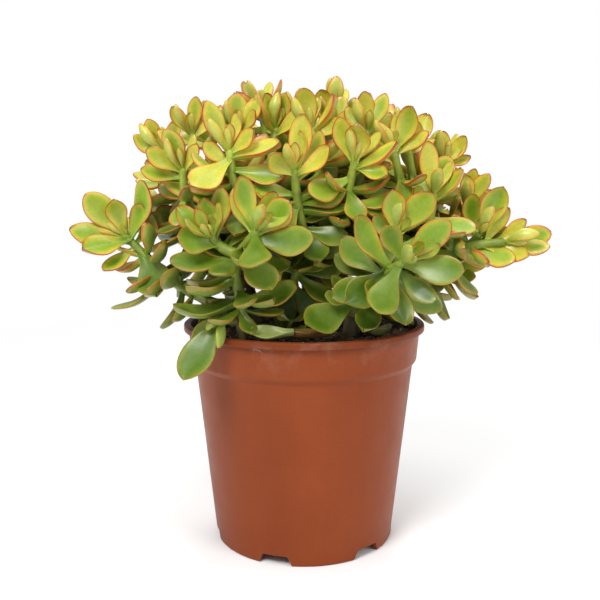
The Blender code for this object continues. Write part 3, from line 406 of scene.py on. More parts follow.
# Rows of a drawn leaf: share of its length, half width and thickness as shares
LEAF_OUTLINE = (
    (0.0, 0.05, 0.3), (0.02, 0.105, 0.55), (0.05, 0.12, 0.64), (0.12, 0.135, 0.68),
    (0.2, 0.18, 0.76), (0.3, 0.26, 0.86), (0.4, 0.35, 0.94), (0.5, 0.43, 1.0),
    (0.59, 0.475, 1.0), (0.67, 0.485, 0.98), (0.75, 0.465, 0.93),
    (0.82, 0.415, 0.86), (0.88, 0.345, 0.76), (0.93, 0.26, 0.64), (0.965, 0.175, 0.5),
    (0.988, 0.095, 0.33), (1.0, 0.035, 0.16),
)
# Points round a leaf: share of the half width, lift as a share of the thickness
RING_ACROSS = (
    (-1.0, 0.0), (-0.95, 0.13), (-0.85, 0.23), (-0.6, 0.34), (-0.3, 0.39), (0.0, 0.4),
    (0.3, 0.39), (0.6, 0.34), (0.85, 0.23), (0.95, 0.13), (1.0, 0.0), (0.95, -0.17),
    (0.85, -0.31), (0.6, -0.47), (0.25, -0.57), (-0.25, -0.57), (-0.6, -0.47), (-0.85, -0.31),
    (-0.95, -0.17),
)
LEAF_SLOT, STEM_SLOT, BARK_SLOT = 0, 1, 2

CROWN_HALVES = (150, 112, 150)  # mm: half its width, half its depth, its height
CROWN_FOOT = 165
# Where the sun reaches, mm: full shade at the first of each pair, full sun at the second
SUN_HEIGHTS = (200, 280)
SUN_FLANKS = (85, 128)
FLANK_HEIGHTS = (170, 205)
FLANK_SUN = 0.85
SUN_SHELL = (0.55, 0.9)  # share of the way from the crown's middle to its outside

# ---------------------------------------------------------------- colours, linear

# darkest leaf green: partly the shaded leaves' own deeper colour, partly painted shade
DEEP_GREEN_AND_PAINTED_SHADE = (0.030, 0.080, 0.004)
MID_GREEN = (0.20, 0.33, 0.014)
SUN_YELLOW = (0.60, 0.53, 0.055)
YOUNG_LIME = (0.40, 0.50, 0.07)
MARGIN_GREEN = (0.42, 0.42, 0.04)
BASE_GREEN = (0.30, 0.43, 0.05)
UNDER_GREY = (0.32, 0.38, 0.13)
RIM_ORANGE = (0.68, 0.17, 0.016)
RIM_RED = (0.45, 0.028, 0.010)
TIP_RED = (0.16, 0.014, 0.012)
RIM_STRENGTH = 0.9
SHADE_TURNS_RED = 0.08  # share of the red that a leaf in full shade has
YELLOWING = (0.45, 1.35)  # sunlight at which a leaf starts and ends turning yellow
# Bands inside the rim, mm: where each colour starts and where it is full
MARGIN_BAND = (5.5, 0.8)
ORANGE_BAND = (1.7, 0.3)
RED_BAND = (0.75, 0.1)
UNDERSIDE_BAND = (0.3, 1.6)
# Shares of the length from the base over which each colour comes in
MARGIN_RISE = (0.05, 0.5)
BASE_RISE = (0.34, 0.04)
BLUSH_RISE = (0.1, 0.55)
TIP_RISE = (0.72, 0.97)
STEM_GREEN = (0.19, 0.26, 0.02)
STEM_LIME = (0.31, 0.39, 0.035)
BARK_OLIVE = (0.085, 0.08, 0.035)
BARK_BROWN = (0.10, 0.06, 0.032)
SCAR_BROWN = (0.12, 0.09, 0.035)
FLESH_SCATTER = (0.8, 1.0, 0.3)  # how far each colour of light runs inside
# pale veil: partly the leaves' waxy bloom, partly painted sheen
BLOOM_AND_SHEEN_GREY = (0.50, 0.54, 0.14)
PORE_PALE = (0.62, 0.66, 0.35)
FRECKLE_BROWN = (0.16, 0.11, 0.05)
BARK_PALE = (0.2, 0.17, 0.1)
POT_DARK = (0.203, 0.039, 0.0080)
POT_LIGHT = (0.238, 0.048, 0.0110)
DUST = (0.45, 0.30, 0.22)
SOIL_SHADES = ((0.028, 0.016, 0.011), (0.095, 0.055, 0.034), (0.22, 0.13, 0.08))
SOIL_PALE = (0.16, 0.11, 0.065)
YOUNG_AGE = 0.75

# ---------------------------------------------------------------- pot, soil and small things

ROUND_STEPS = 3
LONGEST_ROUND = 0.45  # share of a side that a rounded corner may take
SHARP_ANGLE = 32
POT_SIDES_DRAWN = 144
SOIL_RINGS = 60
SOIL_TURNS = 200
SOIL_SINK = 0.7  # mm that the drawn soil's mean lies under the solid's top
# Lumps and grains of the soil: height in mm, place of the layer, scale, falloff, step, octaves
SOIL_RELIEF = ((1.0, 0, 0.11, 0.9, 2.1, 5), (0.55, 9, 0.5, 0.7, 2.0, 4))
EDGE_CALM = 0.6  # share of the relief that is lost at the wall
STEM_SINK = 2.5  # a drawn shoot runs this far into its parent
TRUNK_SINK = 1.6  # and a trunk this far into the soil

CRUMBS = 900
CRUMB_CIRCLE = 76
SOIL_EDGE_RADIUS = 79
CRUMB_SINK = 0.5
CLOD_TILT = 0.35
CLOD_ROUGHNESS = 0.35
# Clods, chips and grains: up to which share of the draws, spans of the three half sizes (or
# one span for all), darkest and lightest colour, power that makes the light ones rare
CRUMB_KINDS = (
    (0.62, ((0.8, 2.6), (0.7, 1.9), (0.5, 1.3)), (0.03, 0.018, 0.01), (0.15, 0.085, 0.048), 2),
    (0.93, ((2.0, 6.0), (0.25, 0.6), (0.2, 0.45)), (0.08, 0.045, 0.024), (0.32, 0.2, 0.11), 1.5),
    (1.01, ((0.5, 1.2),), (0.25, 0.2, 0.13), (0.45, 0.40, 0.30), 1),
)
TRUNK_SEED = 100
SHOOT_SEED = 500
FALLEN_SEED = 900
CRUMB_SEED = 7

# Dry points left on the crown, and a root hair on the pot's band: foot, tip, radius in mm,
# colour at the foot and at the tip, way of the bend
STRAW = (0.42, 0.33, 0.12)
RUST = (0.30, 0.09, 0.03)
HAIR = (0.62, 0.50, 0.38)
ROOT_HAIR = ((-31.9, -75.3, 149.3), (-26.3, -77.3, 147.4), 0.16, HAIR, HAIR, (0, 0, 1))
SPIKE_SIDES = 6
SPIKE_STEPS = 7
SPIKE_BOW = 0.16
SPIKE_POINT = 0.04
DRY_TIPS = (
    ((18, -4, 300), (22, -5, 316), 0.9, YOUNG_LIME, RUST, (1, 0, 0)),
    ((106, -2, 268), (113, -3, 277), 0.5, STRAW, RUST, (0, 0, 1)),
    ((124, -8, 246), (136, -9, 250), 0.45, STRAW, RUST, (0, 0, -1)),
    ((-66, -18, 288), (-70, -19, 299), 0.45, STRAW, RUST, (1, 0, 0)),
    ((-112, -16, 226), (-118, -17, 233), 0.5, RUST, RUST, (0, 0, 1)),
    ((-108, -14, 225), (-113, -15, 229), 0.4, RUST, STRAW, (0, 0, 1)),
    ((84, -4, 276), (82, -5, 287), 0.4, STRAW, RUST, (1, 0, 0)),
    ((-36, -16, 290), (-33, -17, 301), 0.4, STRAW, RUST, (1, 0, 0)),
)

# ---------------------------------------------------------------- camera and light

CAMERA_PLACE = (-0.0029, -0.55, 0.248)
CAMERA_DIP = 8.1  # degrees
CAMERA_LENS = 46.8  # mm
SENSOR_WIDTH = 36.0
AMBIENT = 0.5  # what the surroundings give as light, where they show they are white
FLOOR_CLEAR = (0.30, 1.1)  # m from the pot: the floor's shade ends between these
FLOOR_HALF = 6.0
LIGHT_TARGET = Vector((0, 0, 0.2))
LIGHTS = (  # name, place, size in m, watts
    ("key_light", (-0.45, -0.85, 1.10), 0.6, 14.5),
    ("fill_light", (0.85, -0.8, 0.75), 0.6, 5.5),
    ("top_light", (0.1, -0.15, 1.35), 0.8, 5.0),
    ("back_light", (0.1, 0.8, 1.25), 0.8, 6.5),
)

placed = []  # (owner, box, tree) of every solid that the growth must keep clear of
stems = {}  # name of a trunk or shoot: its centre line and radii


def direction(heading, lean):
    h = math.radians(heading)
    b = math.radians(lean)
    return Vector((math.cos(b) * math.cos(h), -math.sin(b), math.cos(b) * math.sin(h)))


def about_axis(radius, turn, z):
    """Point in metres at a radius and height in mm, turned from the front towards +X."""
    return Vector((radius * math.sin(turn), -radius * math.cos(turn), z)) * MM


def link(obj):
    bpy.context.scene.collection.objects.link(obj)
    return obj


# ---------------------------------------------------------------- stems


def curve_through(points, rings):
    """Even steps along a Catmull-Rom curve through the points."""
    ends = [2 * points[0] - points[1]] + points + [2 * points[-1] - points[-2]]
    fine = []
    for i in range(1, len(ends) - 2):
        a, b, c, d = ends[i - 1], ends[i], ends[i + 1], ends[i + 2]
        for k in range(CURVE_STEPS):
            t = k / CURVE_STEPS
            fine.append(0.5 * (2 * b + (c - a) * t + (2 * a - 5 * b + 4 * c - d) * t * t
                               + (3 * b - a - 3 * c + d) * t ** 3))
    fine.append(points[-1])
    along = [0.0]
    for p, q in zip(fine, fine[1:]):
        along.append(along[-1] + (q - p).length)
    line = []
    step = 0
    for k in range(rings):
        want = along[-1] * k / (rings - 1)
        while step < len(fine) - 2 and along[step + 1] < want:
            step += 1
        span = along[step + 1] - along[step]
        line.append(fine[step].lerp(fine[step + 1], (want - along[step]) / span))
    return line


def length_of(line):
    return sum((b - a).length for a, b in zip(line, line[1:]))


def tangent_at(line, i):
    return (line[min(i + 1, len(line) - 1)] - line[max(i - 1, 0)]).normalized()


def along_stem(name, share):
    """Point and tangent at a share of a stem's rings."""
    line = stems[name][0]
    where = share * (len(line) - 1)
    i = min(int(where), len(line) - 2)
    return line[i].lerp(line[i + 1], where - i), (line[i + 1] - line[i]).normalized()


def radius_along(name, share):
    _, foot_radius, tip_radius = stems[name]
    return foot_radius + (tip_radius - foot_radius) * share


def frames_along(line):
    """Each point of a line, with two unit vectors across it that turn only as the line does."""
    side = Vector((0, 1, 0)).cross(tangent_at(line, 0))
    if side.length < LEAST_SIDE:
        side = Vector((1, 0, 0))
    for i, point in enumerate(line):
        tangent = tangent_at(line, i)
        side = (side - side.dot(tangent) * tangent).normalized()
        yield point, side, tangent.cross(side)


def ring_faces(rows, sides):
    """A cap at each end of a row of rings, and quads between the rings."""
    faces = [tuple(range(sides)), tuple(range((rows - 1) * sides, rows * sides))]
    for i in range(rows - 1):
        for k in range(sides):
            n = (k + 1) % sides
            faces.append((i * sides + k, i * sides + n, (i + 1) * sides + n, (i + 1) * sides + k))
    return faces


def tube(line, foot_radius, tip_radius, sides):
    """Closed tube about a centre line."""
    verts = []
    for i, (point, side, up) in enumerate(frames_along(line)):
        radius = foot_radius + (tip_radius - foot_radius) * i / (len(line) - 1)
        for k in range(sides):
            turn = 2 * math.pi * k / sides
            verts.append(point + radius * (math.cos(turn) * side + math.sin(turn) * up))
    return verts, ring_faces(len(line), sides)


# ---------------------------------------------------------------- keeping clear


def tree_of(verts, faces):
    box = [min(v[i] for v in verts) for i in range(3)], [max(v[i] for v in verts) for i in range(3)]
    return box, BVHTree.FromPolygons(verts, faces)


def keep_clear_of(owner, verts, faces):
    box, tree = tree_of(verts, faces)
    placed.append((owner, box, tree))


def blocked(verts, faces, owners):
    """Whether this solid crosses one that belongs to none of these owners."""
    (low, high), tree = tree_of(verts, faces)
    for other, (other_low, other_high), other_tree in placed:
        if other in owners:
            continue
        if any(low[i] > other_high[i] or high[i] < other_low[i] for i in range(3)):
            continue
        if tree.overlap(other_tree):
            return True
    return False


# ---------------------------------------------------------------- leaves


def leaf_mesh(base, along, face, length, width, thickness):
    """Thick obovate leaf: base point, unit vector to the tip, unit normal of the upper face."""
    side = along.cross(face)
    base = base + along * LEAF_ROOT * MM

    def at(share, across, lift):
        bow = -LEAF_BOW * 4 * share * (1 - share)
        return base + along * length * share + side * across * width + face * (bow * length + lift)

    verts = [at(share, -half, 0) for share, half in LEAF_STATIONS]
    verts += [at(share, half, 0) for share, half in reversed(LEAF_STATIONS)]
    rim = len(verts)
    verts += [at(LEAF_CROWN, 0, thickness / 2), at(LEAF_CROWN, 0, -thickness / 2)]
    faces = [(rim, i, (i + 1) % rim) for i in range(rim)]
    faces += [(rim + 1, (i + 1) % rim, i) for i in range(rim)]
    return verts, faces


def square_to(vector, along):
    return (vector - vector.dot(along) * along).normalized()


def leaf_face(axis, along, show):
    """Unit normal of the upper face: on the side of the stem's tip, or turned to the front."""
    return square_to(square_to(axis, along).lerp(square_to(FRONT, along), show), along)


def leaf_thickness(length):
    return min(LEAF_THICKNESS * MM, LEAF_THICKNESS_SHARE * length)


def place_leaf(owner, base, along, face, length, width_share):
    """The first free place for a leaf of this length in mm, or None."""
    side = along.cross(face)
    for scale in LEAF_SCALES:
        for lift in LEAF_LIFTS:
            for turn in LEAF_TURNS:
                rotation = (Matrix.Rotation(math.radians(turn), 3, face)
                            @ Matrix.Rotation(math.radians(lift), 3, side))
                way = (rotation @ along).normalized()
                normal = (rotation @ face).normalized()
                size = length * MM * scale
                leaf = (base, way, normal, size, size * width_share, leaf_thickness(size))
                grown = leaf_mesh(base, way, normal, size + CLEARANCE * MM,
                                  size * width_share + 2 * CLEARANCE * MM,
                                  leaf_thickness(size) + 2 * CLEARANCE * MM)
                if not blocked(*grown, {owner}):
                    return leaf
    return None


def grow_leaf(grown, name, leaf):
    """Adds a leaf that found a place to a shoot's leaves."""
    if leaf:
        keep_clear_of(name, *leaf_mesh(*leaf))
        grown.append(leaf)


def opposite_ways(axis, tilt, turn):
    """For each of two opposite leaves: its direction, and its way out from the stem."""
    across = square_to(UP_LEFT, axis)
    for half in (0, 180):
        out = Matrix.Rotation(math.radians(turn + half), 3, axis) @ across
        yield math.cos(math.radians(tilt)) * axis + math.sin(math.radians(tilt)) * out, out


# ---------------------------------------------------------------- shoots


def stem_path(parent, share, via, tip, heading, lean):
    """Centre line from the parent's surface to the tip."""
    tip = Vector(tip) * MM
    axis = direction(heading, lean)
    if parent == "soil":
        points = [Vector(p) * MM for p in via]
        points[0].z += GAP
        return curve_through(points + [tip], SOIL_STEM_RINGS)
    point = along_stem(parent, share)[0]
    first = Vector(via[0]) * MM if via else tip - axis * (tip - point).length * TIP_REACH
    start, out = leave_parent(parent, share, first)
    points = [start + out * LEAD * MM] + [Vector(p) * MM for p in via]
    if not via:
        points.append(tip - axis * (tip - start).length * TIP_REACH)
    return [start] + curve_through(points + [tip], STEM_RINGS - 1 + len(via))


def leave_parent(parent, share, towards):
    """Where a shoot starts on its parent's surface, and its first direction."""
    point, tangent = along_stem(parent, share)
    if share > TOP_SHARE:
        return point + tangent * GAP, tangent
    out = square_to(towards - point, tangent)
    return point + out * (radius_along(parent, share) + GAP), out


def grow_stem(name, line, on_soil=False):
    foot = SHOOT_FOOT_RADIUS * THIN_STEMS.get(name, 1) * MM
    tip = SHOOT_TIP_RADIUS * THIN_STEMS.get(name, 1) * MM
    verts, faces = tube(line, foot, tip, SHOOT_SIDES)
    if on_soil:
        verts = flat_foot(verts, SHOOT_SIDES, line[0].z)
    stems[name] = (line, foot, tip)
    keep_clear_of(name, verts, faces)


def flat_foot(verts, sides, level):
    """The tube's first ring, brought level so that it stands on the soil."""
    return [Vector((v.x, v.y, level)) if i < sides else v for i, v in enumerate(verts)]


def below_tip(name, drop):
    """Point and tangent of a stem at a distance below its tip, in mm."""
    share = 1 - max(drop, LEAST_DROP) * MM / length_of(stems[name][0])
    return along_stem(name, max(0.0, share))


def filled_in(leaf):
    """A leaf's row with the usual width share and show where it leaves them out."""
    return leaf + USUAL_LEAF[len(leaf) - 4:]


def hand_leaf(name, row, axis=None):
    """A leaf from its row. Its upper face goes by the given axis, or by the stem where it grows."""
    drop, heading, lean, length, width_share, show = filled_in(row)
    point, tangent = below_tip(name, drop)
    along = direction(heading, lean)
    face = leaf_face(tangent if axis is None else axis, along, show)
    return place_leaf(name, point, along, face, length, width_share)


def too_fine(name, length):
    return length < LEAST_LEAF and name not in THIN_STEMS


def hand_leaves(name, rows, axis):
    grown = []
    for row in rows:
        if not too_fine(name, row[3]):
            grow_leaf(grown, name, hand_leaf(name, row, axis if row[0] < TIP_ZONE else None))
    return grown


def leaf_pairs(name, pairs, phase):
    """Opposite leaves, each pair a quarter turn on from the last."""
    grown = []
    for i, (drop, tilt, length) in enumerate(pairs):
        if length < LEAST_LEAF:
            continue
        point, axis = below_tip(name, drop)
        for along, _ in opposite_ways(axis, tilt, phase + 90 * i):
            face = square_to(axis, along)
            grow_leaf(grown, name, place_leaf(name, point, along, face, length, LEAF_WIDTH_SHARE))
    return grown


def old_pairs(name, leaves):
    room = length_of(stems[name][0]) / MM - OLD_PAIR_SPACE
    taken = [leaf[0] for leaf in leaves]
    return [pair for pair in OLD_PAIRS if pair[0] < room
            and all(abs(pair[0] - drop) > OLD_PAIR_SPACE for drop in taken)]


def ring_shoots():
    """Name, tip and direction of each shoot in the rings, in mm."""
    found = []
    for ring, (height, radius, first, last, count, tilt) in enumerate(RINGS):
        for i in range(count):
            azimuth = math.radians(first + (last - first) * i / (count - 1))
            out = Vector((math.cos(azimuth), math.sin(azimuth) * RING_DEPTH_SHARE, 0))
            axis = (math.cos(math.radians(tilt)) * Vector((0, 0, 1))
                    + math.sin(math.radians(tilt)) * out).normalized()
            tip = out * radius + Vector((0, 0, height + RING_STAGGER * (-1) ** (i + ring)))
            found.append((f"shoot_back_{ring + 1}_{i + 1}", tip, axis))
    return found


def ring_stem(name, tip, axis):
    """The centre line of the shortest free way from one of the parents to the tip, or None."""
    tip = tip * MM
    ways = []
    for parent in RING_PARENTS:
        for share in RING_PARENT_SHARES:
            reach = (tip - along_stem(parent, share)[0]).length
            ways.append((reach + LOW_START_COST * MM * (1 - share), parent, share))
    for reach, parent, share in sorted(ways):
        near = tip - axis * reach * RING_TIP_REACH
        start, out = leave_parent(parent, share, near)
        line = [start] + curve_through([start + out * LEAD * MM, near, tip], STEM_RINGS - 1)
        bare = tube(line, SHOOT_FOOT_RADIUS * MM, SHOOT_TIP_RADIUS * MM, SHOOT_SIDES)
        grown = tube(line, (SHOOT_FOOT_RADIUS + CLEARANCE) * MM,
                     (SHOOT_TIP_RADIUS + CLEARANCE) * MM, SHOOT_SIDES)
        if not blocked(*bare, {name}) and not blocked(*grown, {name, parent}):
            return line
    return None


# ---------------------------------------------------------------- growth: what the solids hold


def spin(profile, sides):
    """Open profile of (radius, z) in mm, turned about Z."""
    verts = []
    for i in range(sides):
        verts += [about_axis(r, 2 * math.pi * i / sides, z) for r, z in profile]
    count = len(profile)
    faces = []
    for i in range(sides):
        here = i * count
        there = (i + 1) % sides * count
        for j in range(count - 1):
            faces.append((here + j, here + j + 1, there + j + 1, there + j))
    return verts, faces


def fence_in():
    """The pot's wall and the soil's top, which the growth keeps clear of."""
    inside = BAND_FOOT_RADIUS - POT_WALL
    wall = [(FOOT_RADIUS, 0), (WALL_FOOT_RADIUS, FLOOR_UNDERSIDE), (WALL_TOP_RADIUS, STEP_FOOT),
            (BAND_FOOT_RADIUS, STEP_TOP), (BAND_TOP_RADIUS, POT_HEIGHT - RIM_DEPTH),
            (RIM_RADIUS, POT_HEIGHT - RIM_DEPTH), (RIM_RADIUS, POT_HEIGHT),
            (RIM_INNER_RADIUS, POT_HEIGHT), (inside, STEP_TOP)]
    keep_clear_of("pot", *spin(wall, POT_SIDES))
    top = [(inside + SOIL_FENCE_OVERLAP, SOIL_EDGE_TOP), (SOIL_FLAT_RADIUS, SOIL_TOP),
           (SOIL_FENCE_MIDDLE, SOIL_TOP)]
    keep_clear_of("soil", *spin(top, SOIL_SIDES))


def grow_trunks():
    for name, ((x, y), top, foot_radius, top_radius) in TRUNKS.items():
        foot = Vector((x, y, SOIL_TOP)) * MM + Vector((0, 0, GAP))
        top = Vector(top) * MM
        outward = Vector((top.x - foot.x, top.y - foot.y, 0)).normalized()
        middle = foot.lerp(top, TRUNK_BEND_SHARE) - outward * TRUNK_BEND * MM
        line = curve_through([foot, middle, top], STEM_RINGS)
        stems[name] = (line, foot_radius * MM, top_radius * MM)
        keep_clear_of(name, *tube(line, foot_radius * MM, top_radius * MM, TRUNK_SIDES))


def grow_fallen_leaves():
    fallen = {}
    for name, (base, tip, face, width_share, _) in FALLEN_LEAVES.items():
        base = Vector(base) * MM
        reach = Vector(tip) * MM - base
        along = reach.normalized()
        leaf = (base, along, square_to(Vector(face), along), reach.length,
                reach.length * width_share, leaf_thickness(reach.length))
        keep_clear_of(name, *leaf_mesh(*leaf))
        fallen[name] = leaf
    return fallen


def grow_shoots():
    """Every shoot's leaves, the ones in the solids first and in the solids' own order."""
    for name, (parent, share, via, tip, (heading, lean), _) in SHOOTS.items():
        grow_stem(name, stem_path(parent, share, via, tip, heading, lean), parent == "soil")
    rings = []
    for name, tip, axis in ring_shoots():
        line = ring_stem(name, tip, axis)
        if line is not None:
            grow_stem(name, line)
            rings.append(name)
    blades = {}
    for name, (_, _, _, _, (heading, lean), leaves) in SHOOTS.items():
        blades[name] = hand_leaves(name, leaves, direction(heading, lean))
    for i, name in enumerate(rings):
        blades[name] = leaf_pairs(name, RING_PAIRS, PAIR_PHASE * i)
    for i, (name, shoot) in enumerate(SHOOTS.items()):
        if name not in THIN_STEMS:
            blades[name] += leaf_pairs(name, old_pairs(name, shoot[-1]), PAIR_PHASE * i)
    return blades


# ------------------------------------------------------- growth: what is too fine for the solids


def young_leaves(name):
    """The small leaves at a tip, which may touch their own shoot's others."""
    grown = []
    if name in SHOOTS:
        axis = direction(*SHOOTS[name][4])
        rows = [row for row in SHOOTS[name][5] if too_fine(name, row[3])]
        grown += [hand_leaf(name, row, axis) for row in rows]
    if name not in THIN_STEMS:
        point, axis = below_tip(name, BUD_DROP)
        for tilt, length, turn in BUD_LEAVES:
            for along, out in opposite_ways(axis, tilt, turn):
                face = -square_to(out, along)
                grown.append(place_leaf(name, point, along, face, length, BUD_WIDTH_SHARE))
    return [leaf for leaf in grown if leaf]


def filler_leaves(names, blades):
    """Older leaves lower on the stems, wherever there is room, for the crown's dense inside."""
    added = {name: [] for name in names}
    for name, row in HANGING_LEAVES:
        grow_leaf(added[name], name, hand_leaf(name, row))
    for k, (drop, tilt, length) in enumerate(FILLER_PAIRS):
        for i, name in enumerate(names):
            if name in THIN_STEMS or drop > length_of(stems[name][0]) / MM - OLD_PAIR_SPACE:
                continue
            point, axis = below_tip(name, drop)
            for along, _ in opposite_ways(axis, tilt, FILLER_PHASE * (i + 2 * k)):
                face = square_to(axis, along)
                leaf = place_leaf(name, point, along, face, length, LEAF_WIDTH_SHARE)
                if leaf and not crowded(leaf, blades[name] + added[name]):
                    grow_leaf(added[name], name, leaf)
    return added


def crowded(leaf, others):
    """Whether a leaf would grow through one of its own shoot's leaves."""
    middle = leaf[0] + leaf[1] * leaf[3] * BROAD_SHARE
    return any((middle - o[0] - o[1] * o[3] * BROAD_SHARE).length < OWN_LEAF_SPACE * MM for o in others)


# ---------------------------------------------------------------- drawn meshes


class Piece:
    """Collects faces with a colour at each corner, and makes one object of them."""

    def __init__(self, name):
        self.name = name
        self.verts = []
        self.colours = []
        self.faces = []
        self.slots = []
        self.count = 0

    def add(self, verts, colours, faces, slot):
        self.verts.append(np.asarray(verts, float))
        self.colours.append(np.asarray(colours, float))
        self.faces += [tuple(i + self.count for i in f) for f in faces]
        self.slots += [slot] * len(faces)
        self.count += len(verts)

    def build(self, materials, nodes):
        obj = mesh_object(self.name, np.concatenate(self.verts).tolist(), self.faces)
        mesh = obj.data
        for material in materials:
            mesh.materials.append(material)
        mesh.polygons.foreach_set("material_index", self.slots)
        tint = mesh.color_attributes.new("tint", "FLOAT_COLOR", "POINT")
        colours = np.concatenate(self.colours)
        tint.data.foreach_set("color", np.hstack([colours, np.ones((len(colours), 1))]).ravel())
        mesh.validate()
        mesh.shade_smooth()
        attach(obj, "root")
        if nodes:
            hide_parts(*nodes)


def mesh_object(name, verts, faces):
    """An object whose faces all look outward."""
    mesh = bpy.data.meshes.new(name)
    mesh.from_pydata(verts, [], faces)
    work = bmesh.new()
    work.from_mesh(mesh)
    bmesh.ops.recalc_face_normals(work, faces=work.faces)
    work.to_mesh(mesh)
    work.free()
    return link(bpy.data.objects.new(name, mesh))


def smoothstep(low, high, x):
    t = np.clip((x - low) / (high - low), 0.0, 1.0)
    return t * t * (3 - 2 * t)


def mix(a, b, share):
    """Colours a and b mixed by a share that may be one number or one for each point."""
    share = np.asarray(share, float)[..., None]
    return np.asarray(a, float) * (1 - share) + np.asarray(b, float) * share


def sunlight(point):
    """0 for a leaf in the crown's shade, 1 for one in full sun."""
    x, y, z = point / MM
    wide, deep, tall = CROWN_HALVES
    shell = math.sqrt((x / wide) ** 2 + (y / deep) ** 2 + (max(z - CROWN_FOOT, 0) / tall) ** 2)
    high = smoothstep(*SUN_HEIGHTS, z)
    flank = smoothstep(*SUN_FLANKS, abs(x)) * smoothstep(*FLANK_HEIGHTS, z)
    return float(max(high, FLANK_SUN * flank) * smoothstep(*SUN_SHELL, shell))


def leaf_colours(sun, age, tone, across, along, upper, edge):
    """Colour at each point of a leaf: green heart, yellowing towards the margin, red rim.

    sun and age run from 0 to 1, tone is the leaf's own random share, across runs from -1 to 1
    between the sides, along from 0 to 1 from the base, and edge is the way to the rim in mm.
    """
    # Leaves in the crown's shade turn darker green: partly their own deeper colour, partly painted shade
    green = mix(DEEP_GREEN_AND_PAINTED_SHADE, MID_GREEN, min(1.0, 0.12 + 1.9 * sun + 0.33 * tone))
    colour = mix(green, SUN_YELLOW, 0.85 * smoothstep(*YELLOWING, sun + 0.7 * (tone - 0.5)))
    colour = mix(colour, YOUNG_LIME, 0.75 * age)
    margin = mix(MARGIN_GREEN, SUN_YELLOW, min(1.0, 0.15 + 1.1 * sun))
    fade = smoothstep(*MARGIN_BAND, edge) * (0.2 + 0.75 * sun) * (1 - 0.5 * age)
    colour = mix(colour, margin, fade * smoothstep(*MARGIN_RISE, along))
    colour = mix(colour, BASE_GREEN, 0.55 * smoothstep(*BASE_RISE, along) * (0.3 + 0.7 * sun))
    redness = SHADE_TURNS_RED + (1 - SHADE_TURNS_RED) * min(1.0, 2.5 * sun + 0.3 * tone)
    blush = RIM_STRENGTH * smoothstep(*BLUSH_RISE, along) * redness * (1 - 0.75 * age)
    redder_side = tone * 3 % 1 * 2 - 1
    blush = blush * np.clip(1 + 0.55 * across * redder_side, 0.2, 1.0)
    tip = smoothstep(*TIP_RISE, along)
    colour = mix(colour, RIM_ORANGE, 0.8 * blush * smoothstep(ORANGE_BAND[0] + tip, ORANGE_BAND[1], edge))
    red = mix(RIM_RED, TIP_RED, 0.9 * tip)
    colour = mix(colour, red, blush * smoothstep(RED_BAND[0] + 0.35 * tip, RED_BAND[1], edge))
    under = mix(colour, UNDER_GREY, 0.3 * smoothstep(*UNDERSIDE_BAND, edge))
    return np.where(upper[:, None], colour, under)


def draw_leaf(piece, leaf, dice, age=0.0, wilt=0.0, tint=None):
    """A thick leaf with blunt edges. dice is a random generator for its small differences."""
    base, along, face, length, width, thickness = leaf
    base = np.array(base + along * LEAF_ROOT * MM)
    along_v, face_v, side_v = (np.array(v) for v in (along, face, along.cross(face)))
    bow = LEAF_BOW * dice.uniform(*BOW_RANGE) - wilt * WILT_BOW
    sway = dice.uniform(-LEAF_SWAY, LEAF_SWAY)
    curl = dice.uniform(*CURL_RANGE)
    twist = math.radians(dice.uniform(-LEAF_TWIST, LEAF_TWIST))
    cup = dice.uniform(*CUP_RANGE) + wilt * WILT_CUP
    lop = dice.uniform(-LEAF_LOP, LEAF_LOP)
    tone = dice.random()
    sun = sunlight(Vector(base) + along * length * SUN_POINT)
    width *= 1 - SUN_NARROWS * sun
    waves, lop_shift, first_wave = RIM_WAVES
    verts = []
    edge = []
    for u, half, body in LEAF_OUTLINE:
        turn = twist * (u - STRAIGHT_SHARE)
        across_v = side_v * math.cos(turn) + face_v * math.sin(turn)
        up_v = face_v * math.cos(turn) - side_v * math.sin(turn)
        centre = (base + along_v * length * u
                  + side_v * length * (sway * u * u + lop * math.sin(math.pi * u))
                  + face_v * length * (-bow * 4 * u * (1 - u) + curl * smoothstep(*CURL_SPAN, u) * u))
        wobble = 1 + RIM_WOBBLE * math.sin(waves * u + lop_shift * lop + first_wave)
        for v, lift in RING_ACROSS:
            rise = cup * width * v * v + lift * body * thickness
            verts.append(centre + across_v * v * half * width * wobble + up_v * rise)
            to_side = (1 - abs(v)) * half * width / MM
            to_tip = (1 - u) * length / MM
            edge.append(min(to_side, to_tip * 1.2) if u > TIP_SHARE else to_side)
    rows = len(LEAF_OUTLINE)
    across = np.tile([v for v, _ in RING_ACROSS], rows)
    upper = np.tile([lift >= 0 for _, lift in RING_ACROSS], rows)
    along_leaf = np.repeat([u for u, _, _ in LEAF_OUTLINE], len(RING_ACROSS))
    colours = leaf_colours(sun, age, tone, across, along_leaf, upper, np.array(edge))
    if tint is not None:
        colours = mix(colours, tint, DRY_TINT)
    piece.add(verts, colours, ring_faces(rows, len(RING_ACROSS)), LEAF_SLOT)


